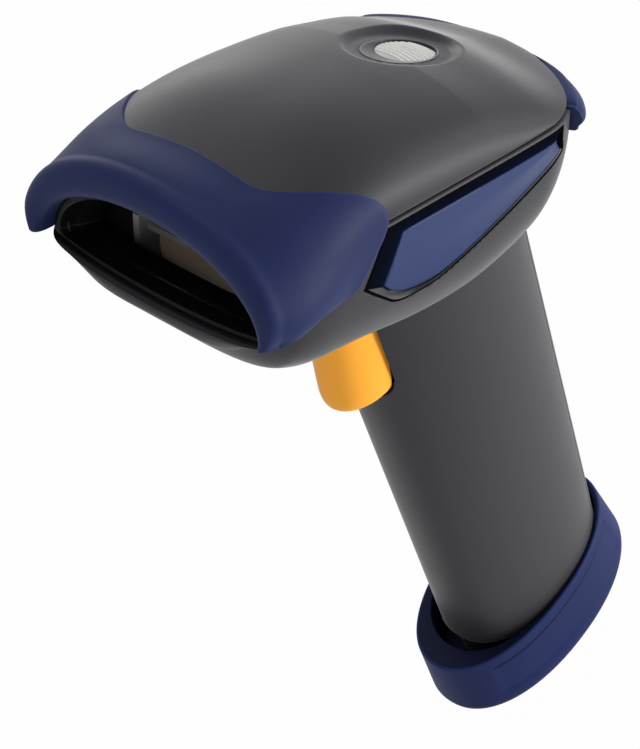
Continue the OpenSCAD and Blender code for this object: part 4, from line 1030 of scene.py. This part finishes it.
class OBJECT_OT_scanner_trigger(ScannerPiece, bpy.types.Operator):
    """Make the trigger with rounded flanks and toe"""

    bl_idname = "object.scanner_trigger"
    bl_label = "Trigger"

    def execute(self, context):
        f = self.form(context)
        z = np.concatenate([-mix(f.trigger_curl, f.trigger_low, np.cos(np.linspace(0, math.pi / 2, 40))),
                            np.linspace(-f.trigger_curl, f.trigger_top, 50)[1:]])[:, None]
        k = np.maximum(f.trigger_fade(z), 0.002)
        back = f.trigger_back(z)
        t = np.linspace(math.pi, 2 * math.pi, 61)[None, :]
        front = stack(f.trigger_w / 2 * k * np.cos(t), back + f.trigger_reach * k * np.sin(t), z)
        w = f.trigger_w / 2 * k
        rear = np.concatenate([stack(w * x, back + f.trigger_web, z) for x in (1, 0.5, 0, -0.5, -1)], 1)
        p = np.concatenate([front, rear], 1)
        p = np.concatenate([p, np.broadcast_to(p[-1:].mean(1, keepdims=True), p[-1:].shape)])
        skin = Skin().grid(f.pin_to_row(p), wrap=True)
        around = np.linspace(0, 2 * math.pi, 49)[:-1][None, :]
        x = np.array([-1, -1, 1, 1])[:, None] * f.hub_half
        r = np.array([f.pin_round, f.hub_round, f.hub_round, f.pin_round])[:, None]
        ring = stack(x, r * np.cos(around), r * np.sin(around))
        skin.grid(f.pin_to_row(np.concatenate([ring, ring[:1]])), wrap=True)
        self.block(f, skin, (-f.hub_half, -8.0, -28.0), (f.hub_half, 0.6, -2.5))
        self.block(f, skin, (-3.0, -4.0, -25.5), (3.0, 15.5, -21.5))
        seat(skin.build("trigger_blade", [FINISHES["trigger"]], 45), "trigger", "orange", "trigger")
        self.spring(f)
        return {"FINISHED"}

    @staticmethod
    def spring(f):
        """The return spring: a coil of wire from the trigger's back to its stop."""
        level = f.axis - f.pin_drop - f.spring_drop
        low, high = f.pin_y + f.spring_seat + f.spring_wire, f.spring_stop - f.spring_wire - f.spring_gap
        turn = np.linspace(0, 2 * math.pi * f.spring_turns, 24 * f.spring_turns + 1)[:, None]
        around = np.linspace(0, 2 * math.pi, 11)[:-1][None, :]
        out = f.spring_half - f.spring_wire + f.spring_wire * np.cos(around)
        along = mix(low, high, turn / turn[-1]) + f.spring_wire * np.sin(around)
        p = stack(out * np.cos(turn), along, level + out * np.sin(turn))
        ends = [np.broadcast_to(p[i].mean(0), p[i].shape)[None] for i in (0, -1)]
        skin = Skin().grid(f.grip_to_row(np.concatenate([ends[0], p, ends[1]])), wrap=True)
        coil = skin.build("trigger_coil", [FINISHES["steel"]], 45)
        seat(coil, "housing", "steel", "trigger_spring")
        foot = np.array([[0.0, f.spring_stop, level], [0.0, f.spring_stop + 1, level]])
        anchor, beyond = f.grip_to_row(foot) * MM
        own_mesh(coil)

    @staticmethod
    def block(f, skin, low, high):
        """A closed bar with softened edges."""
        s = np.linspace(0, 2 * math.pi, 33)[:-1]
        c, d = polar(s, 14.0)
        mid, half = (np.array(low) + high) / 2, (np.array(high) - low) / 2
        rings = [stack(mid[0] + half[0] * k * c, mid[1] + half[1] * k * d, mid[2] + half[2] * lift)
                 for lift, k in ((-1, 0.02), (-1, 0.96), (-0.97, 1), (0.97, 1), (1, 0.96), (1, 0.02))]
        skin.grid(f.pin_to_row(np.stack(rings)), wrap=True)


class OBJECT_OT_scanner_indicator(ScannerPiece, bpy.types.Operator):
    """Make the bezel and the ribbed lens of the indicator"""

    bl_idname = "object.scanner_indicator"
    bl_label = "Indicator"

    def execute(self, context):
        f = self.form(context)
        lens, well = (f.lens_half, f.lens_len), (f.well_half, f.well_len)
        dish, foot, edge, back = -f.dish_depth, f.well_foot, f.bezel_rim, f.lens_back
        proud, top = f.bezel_proud + dish, dish - f.well_depth
        # The last value is the rim value: 0.8 and 1.0 paint a highlight along the bezel's raised top, and the negative
        # ones paint shade down the well.
        bezel = [(well, edge, foot, 0, 0), (well, edge, dish, 0, 0), (well, edge - 0.08, proud, 0, 0.8),
                 (well, 0.06, proud, 0, 1.0), (well, -0.05, dish, 0, 0.2), (lens, 0.15, top, back, -0.1),
                 (lens, 0.1, foot, back, -0.5)]
        seat(self.ovals(f, bezel).build("lens_bezel", [FINISHES["bezel"]], 60), "housing", "shell", "indicator_bezel")
        # The lens rings are darkened by about a third toward near black.
        rings = [(lens, -5.2, foot, back, 0), (lens, 0, foot, back, 0), (lens, 0, top - f.lens_set, back, -0.3)]
        for u in np.linspace(0.03, 0.98, 12):
            rise = f.lens_rise * (1 - (1 - u) ** 2)
            rings.append((lens, -u * f.lens_half, top + rise - f.lens_set, back, -0.35))
        seat(self.ovals(f, rings).build("lens", [FINISHES["lens"]], 60), "housing", "lens", "indicator_lens")
        seat(self.ribs(f), "housing", "lens")
        return {"FINISHED"}

    @staticmethod
    def ovals(f, rings):
        """A skin over ovals of the dish's frame, each given by its half sizes, growth, height, shift and rim value,
        which paints highlight where positive and darkens where negative.
        """
        a = np.linspace(0, 2 * math.pi, 121)[:-1]
        p = [stack((w + g) * np.cos(a), (l + g) * np.sin(a) + back, z) for (w, l), g, z, back, _ in rings]
        return Skin().grid(f.head_to_row(f.dish_to_head(np.stack(p))), wrap=True,
                           rim=np.array([ring[-1] for ring in rings], float)[:, None])

    @staticmethod
    def ribs(f):
        """Ribs across the lens, set out along a line by Geometry Nodes."""
        tree = bpy.data.node_groups.new("lens_ribs", "GeometryNodeTree")
        for name, kind, default in (("Half width", "NodeSocketFloat", f.lens_half * MM),
                                    ("Half length", "NodeSocketFloat", f.lens_len * MM),
                                    ("Pitch", "NodeSocketFloat", f.rib_pitch * MM),
                                    ("Width", "NodeSocketFloat", 0.6 * f.rib_pitch * MM),
                                    ("Height", "NodeSocketFloat", 0.6 * MM), ("Finish", "NodeSocketMaterial", None)):
            socket = tree.interface.new_socket(name, in_out="INPUT", socket_type=kind)
            if default is not None:
                socket.default_value = default
        tree.interface.new_socket("Geometry", in_out="OUTPUT", socket_type="NodeSocketGeometry")

        def node(kind, settings=None, **inputs):
            made = tree.nodes.new(kind)
            for key, value in (settings or {}).items():
                setattr(made, key, value)
            for key, value in inputs.items():
                socket = made.inputs[int(key[1:])]
                if isinstance(value, bpy.types.NodeSocket):
                    tree.links.new(value, socket)
                else:
                    socket.default_value = value
            return made

        def maths(operation, a, b=0.0):
            return node("ShaderNodeMath", {"operation": operation}, i0=a, i1=b).outputs[0]

        half, long, pitch, width, height, finish = node("NodeGroupInput").outputs[:6]
        beside = maths("FLOOR", maths("DIVIDE", maths("MULTIPLY", long, 0.9), pitch))
        count = maths("ADD", maths("MULTIPLY", beside, 2.0), 1.0)
        first = maths("MULTIPLY", maths("MULTIPLY", maths("SUBTRACT", count, 1.0), -0.5), pitch)
        line = node("GeometryNodeMeshLine", {"mode": "OFFSET"}, i0=count,
                    i2=node("ShaderNodeCombineXYZ", i1=first).outputs[0],
                    i3=node("ShaderNodeCombineXYZ", i1=pitch).outputs[0]).outputs[0]
        y = node("ShaderNodeSeparateXYZ", i0=node("GeometryNodeInputPosition").outputs[0]).outputs[1]
        share = maths("DIVIDE", y, long)
        chord = maths("MULTIPLY", maths("MULTIPLY", half, 0.93),
                      maths("SQRT", maths("SUBTRACT", 1.0, maths("MULTIPLY", share, share))))
        kept = node("GeometryNodeStoreNamedAttribute", {"data_type": "FLOAT", "domain": "POINT"}, i0=line,
                    i2="chord", i3=chord)
        rod = node("GeometryNodeMeshCylinder", i0=14, i1=8, i3=0.5, i4=2.0)
        lying = node("GeometryNodeTransform", i0=rod.outputs[0])
        lying.inputs["Rotation"].default_value = (0, math.pi / 2, 0)
        read = node("GeometryNodeInputNamedAttribute", {"data_type": "FLOAT"}, i0="chord")
        size = node("ShaderNodeCombineXYZ", i0=read.outputs[0], i1=width, i2=height).outputs[0]
        set_out = node("GeometryNodeInstanceOnPoints", i0=kept.outputs[0], i2=lying.outputs[0])
        tree.links.new(size, set_out.inputs["Scale"])
        real = node("GeometryNodeRealizeInstances", i0=set_out.outputs[0])
        dressed = node("GeometryNodeSetMaterial", i0=real.outputs[0])
        tree.links.new(finish, dressed.inputs["Material"])
        tree.links.new(dressed.outputs[0], node("NodeGroupOutput").inputs[0])

        host = bpy.data.objects.new("rib_host", bpy.data.meshes.new("rib_host"))
        bpy.context.scene.collection.objects.link(host)
        modifier = host.modifiers.new("ribs", "NODES")
        modifier.node_group = tree
        for item in tree.interface.items_tree:
            if item.item_type == "SOCKET" and item.name == "Finish":
                modifier[item.identifier] = FINISHES["lens"]
        bpy.context.view_layer.update()
        graph = bpy.context.evaluated_depsgraph_get()
        mesh = bpy.data.meshes.new_from_object(host.evaluated_get(graph))
        host.modifiers.remove(modifier)
        bpy.data.objects.remove(host)
        co = np.zeros(len(mesh.vertices) * 3, np.float32)
        mesh.vertices.foreach_get("co", co)
        local = co.reshape(-1, 3).astype(float) / MM
        inside = np.clip(-f.oval_gap(local, f.lens_half, f.lens_len) / f.lens_half, 0, 1)
        crown = f.lens_rise * (1 - (1 - inside) ** 2) - f.dish_depth - f.well_depth - f.rib_set
        local += stack(0.0, f.lens_back, crown)
        mesh.vertices.foreach_set("co", (f.head_to_row(f.dish_to_head(local)) * MM).astype(np.float32).ravel())
        return finish_mesh("lens_ribs", mesh, 60)


class OBJECT_OT_scanner_mouth(ScannerPiece, bpy.types.Operator):
    """Make the stepped black funnel of the mouth and its exit window"""

    bl_idname = "object.scanner_mouth"
    bl_label = "Mouth"

    def execute(self, context):
        f = self.form(context)
        a = np.linspace(0, 2 * math.pi, 193)[:-1]
        mouth, step, window = f.funnel_y, f.step_y, f.window_y
        # The last value of each step is its rim value: the slight lift on two step edges is a painted highlight, and
        # the window's ring is darkened as painted shade.
        steps = [(mouth, 0.0, 0), (mouth, -0.9, 0), (mouth + 0.2, -1.15, 0.05), (step, -1.3, 0),
                 (step + 0.2, -1.4, 0.1), (step + 0.4, -1.6, 0), (window, -2.2, -0.3), (window, 0.0, -0.3),
                 (mouth, 0.0, 0)]
        skin = Skin().grid(f.head_to_row(np.stack([f.leaf(y, a, g) for y, g, _ in steps])), wrap=True,
                           rim=np.array([wear_and_painted_light for _, _, wear_and_painted_light in steps], float)[:, None])
        seat(skin.build("mouth_funnel", [FINISHES["liner"]], 35), "housing", "black", "mouth_liner")
        near, far = window + 0.02, window + 1.58
        rings = [f.leaf(y, a, g) for y, g in ((near, -0.5), (near + 0.2, -0.32), (far - 0.2, -0.32), (far, -0.5))]
        centre = [np.broadcast_to(r.mean(0), r.shape) for r in (rings[0], rings[-1])]
        skin = Skin().grid(f.head_to_row(np.stack([centre[0], *rings, centre[1]])), wrap=True)
        seat(skin.build("exit_window", [FINISHES["window"]], 35), "housing", "window", "scan_window")
        return {"FINISHED"}


class OBJECT_OT_scanner_stage(bpy.types.Operator):
    """Set the camera, the lamps and the white surroundings"""

    bl_idname = "object.scanner_stage"
    bl_label = "Stage"

    lamps = (
        ("top_box", (-0.262, 0.24, 1.055), (0.5, 0.5), 4.0),
        ("right_strip", (0.62, 0.78, 0.18), (1.0, 0.34), 4.8),
        ("right_under", (0.78, 0.64, -0.22), (0.4, 0.26), 11.5),
        ("near_under", (0.2, 0.18, -0.3), (0.3, 0.3), 0.9),
        ("left_strip", (-0.821, 0.571, 0.19), (0.5, 0.36), 2.0),
        ("right_fill", (0.95, -0.35, 0.24), (0.5, 0.4), 0.3),
        ("front_fill", (0.4, -0.95, 0.2), (0.5, 0.4), 3.6),
    )

    # Right, up and back of the camera, and its place
    camera_axes = (0.73857, 0.59975, -0.30792), (-0.38605, 0.75067, 0.53615), (0.5527, -0.27712, 0.78596)
    camera_place = (0.281324, -0.151467, 0.522736)
    lamp_target = (0.0, 0.0, 0.12)
    dim_level, floor_half, floor_drop = 0.3, 3.0, 0.0004

    def execute(self, context):
        scene = context.scene
        camera = bpy.data.cameras.new("camera")
        camera.lens, camera.sensor_width = 124.25, 36.0
        camera.shift_x, camera.shift_y = -0.0326, -0.0182
        camera.clip_start = 0.01
        scene.camera = self.put(scene, "camera", camera, self.camera_axes, self.camera_place)
        for name, at, size, power in self.lamps:
            light = bpy.data.lights.new(name, "AREA")
            light.shape, light.size, light.size_y, light.energy = "RECTANGLE", size[0], size[1], power
            away = np.subtract(at, self.lamp_target)
            away /= np.linalg.norm(away)
            side = np.cross((0, 0, 1), away)
            side /= np.linalg.norm(side)
            self.put(scene, name, light, (side, np.cross(away, side), away), at)
        self.surroundings(scene)
        self.floor(scene)
        scene.view_settings.view_transform = "Standard"
        return {"FINISHED"}

    @staticmethod
    def put(scene, name, data, axes, at):
        """Links an object whose own x, y and z axes are the ones given."""
        obj = bpy.data.objects.new(name, data)
        obj.matrix_world = Matrix([(*row, v) for row, v in zip(zip(*axes), at)] + [(0, 0, 0, 1)])
        scene.collection.objects.link(obj)
        return obj

    def surroundings(self, scene):
        """White where they are seen or mirrored, dimmer as light."""
        scene.world = bpy.data.worlds.new("white_surroundings")
        scene.world.use_nodes = True
        sky = Tree(scene.world.node_tree)
        shade = sky.tree.nodes["Background"]
        shade.inputs["Color"].default_value = (1, 1, 1, 1)
        range_of = {"Value": sky.seen(), "To Min": self.dim_level, "To Max": 1.0}
        level = sky.node("ShaderNodeMapRange", {}, range_of, "Result")
        sky.tree.links.new(level.socket, shade.inputs["Strength"])

    def floor(self, scene):
        """White light table: it shows as the surroundings do and lets the lamps below it through."""
        mesh = bpy.data.meshes.new("floor")
        h, z = self.floor_half, -self.floor_drop
        mesh.from_pydata([(-h, -h, z), (h, -h, z), (h, h, z), (-h, h, z)], [], [(0, 1, 2, 3)])
        f = Finish("floor_white")
        cloud = f.noise(3.0)
        f.set(Base_Color=f.blend(cloud, (0.34, 0.34, 0.34), (0.38, 0.38, 0.38)), Roughness=0.9)
        white = f.node("ShaderNodeEmission", {}, {"Strength": 1.0})
        both = f.node("ShaderNodeMixShader", {}, {0: f.seen() * 0.985, 1: Sock(f, f.shader.outputs[0]), 2: white})
        f.tree.links.new(both.socket, f.tree.nodes["Material Output"].inputs["Surface"])
        mesh.materials.append(f.material)
        floor = bpy.data.objects.new("floor", mesh)
        floor.visible_shadow = False
        scene.collection.objects.link(floor)


class VIEW3D_PT_scanner(bpy.types.Panel):
    """The pieces of the scanner"""

    bl_idname = "VIEW3D_PT_scanner"
    bl_label = "Scanner"
    bl_space_type = "VIEW_3D"
    bl_region_type = "UI"
    bl_category = "Scanner"

    def draw(self, context):
        for operator in PIECES:
            self.layout.operator(operator.bl_idname)


PIECES = (
    OBJECT_OT_scanner_finishes,
    OBJECT_OT_scanner_dome,
    OBJECT_OT_scanner_housing,
    OBJECT_OT_scanner_bumpers,
    OBJECT_OT_scanner_side_panels,
    OBJECT_OT_scanner_boot,
    OBJECT_OT_scanner_trigger,
    OBJECT_OT_scanner_indicator,
    OBJECT_OT_scanner_mouth,
    OBJECT_OT_scanner_stage,
)
CLASSES = (ScannerSizes, ScannerColours, *PIECES, VIEW3D_PT_scanner)


def register():
    for cls in CLASSES:
        bpy.utils.register_class(cls)
    bpy.types.Scene.scanner_sizes = bpy.props.PointerProperty(type=ScannerSizes)
    bpy.types.Scene.scanner_colours = bpy.props.PointerProperty(type=ScannerColours)


def unregister():
    del bpy.types.Scene.scanner_colours
    del bpy.types.Scene.scanner_sizes
    for cls in reversed(CLASSES):
        bpy.utils.unregister_class(cls)


def main():
    register()
    for operator in PIECES:
        group, name = operator.bl_idname.split(".")
        getattr(getattr(bpy.ops, group), name)()
    bpy.context.view_layer.update()


if __name__ == "__main__":
    main()
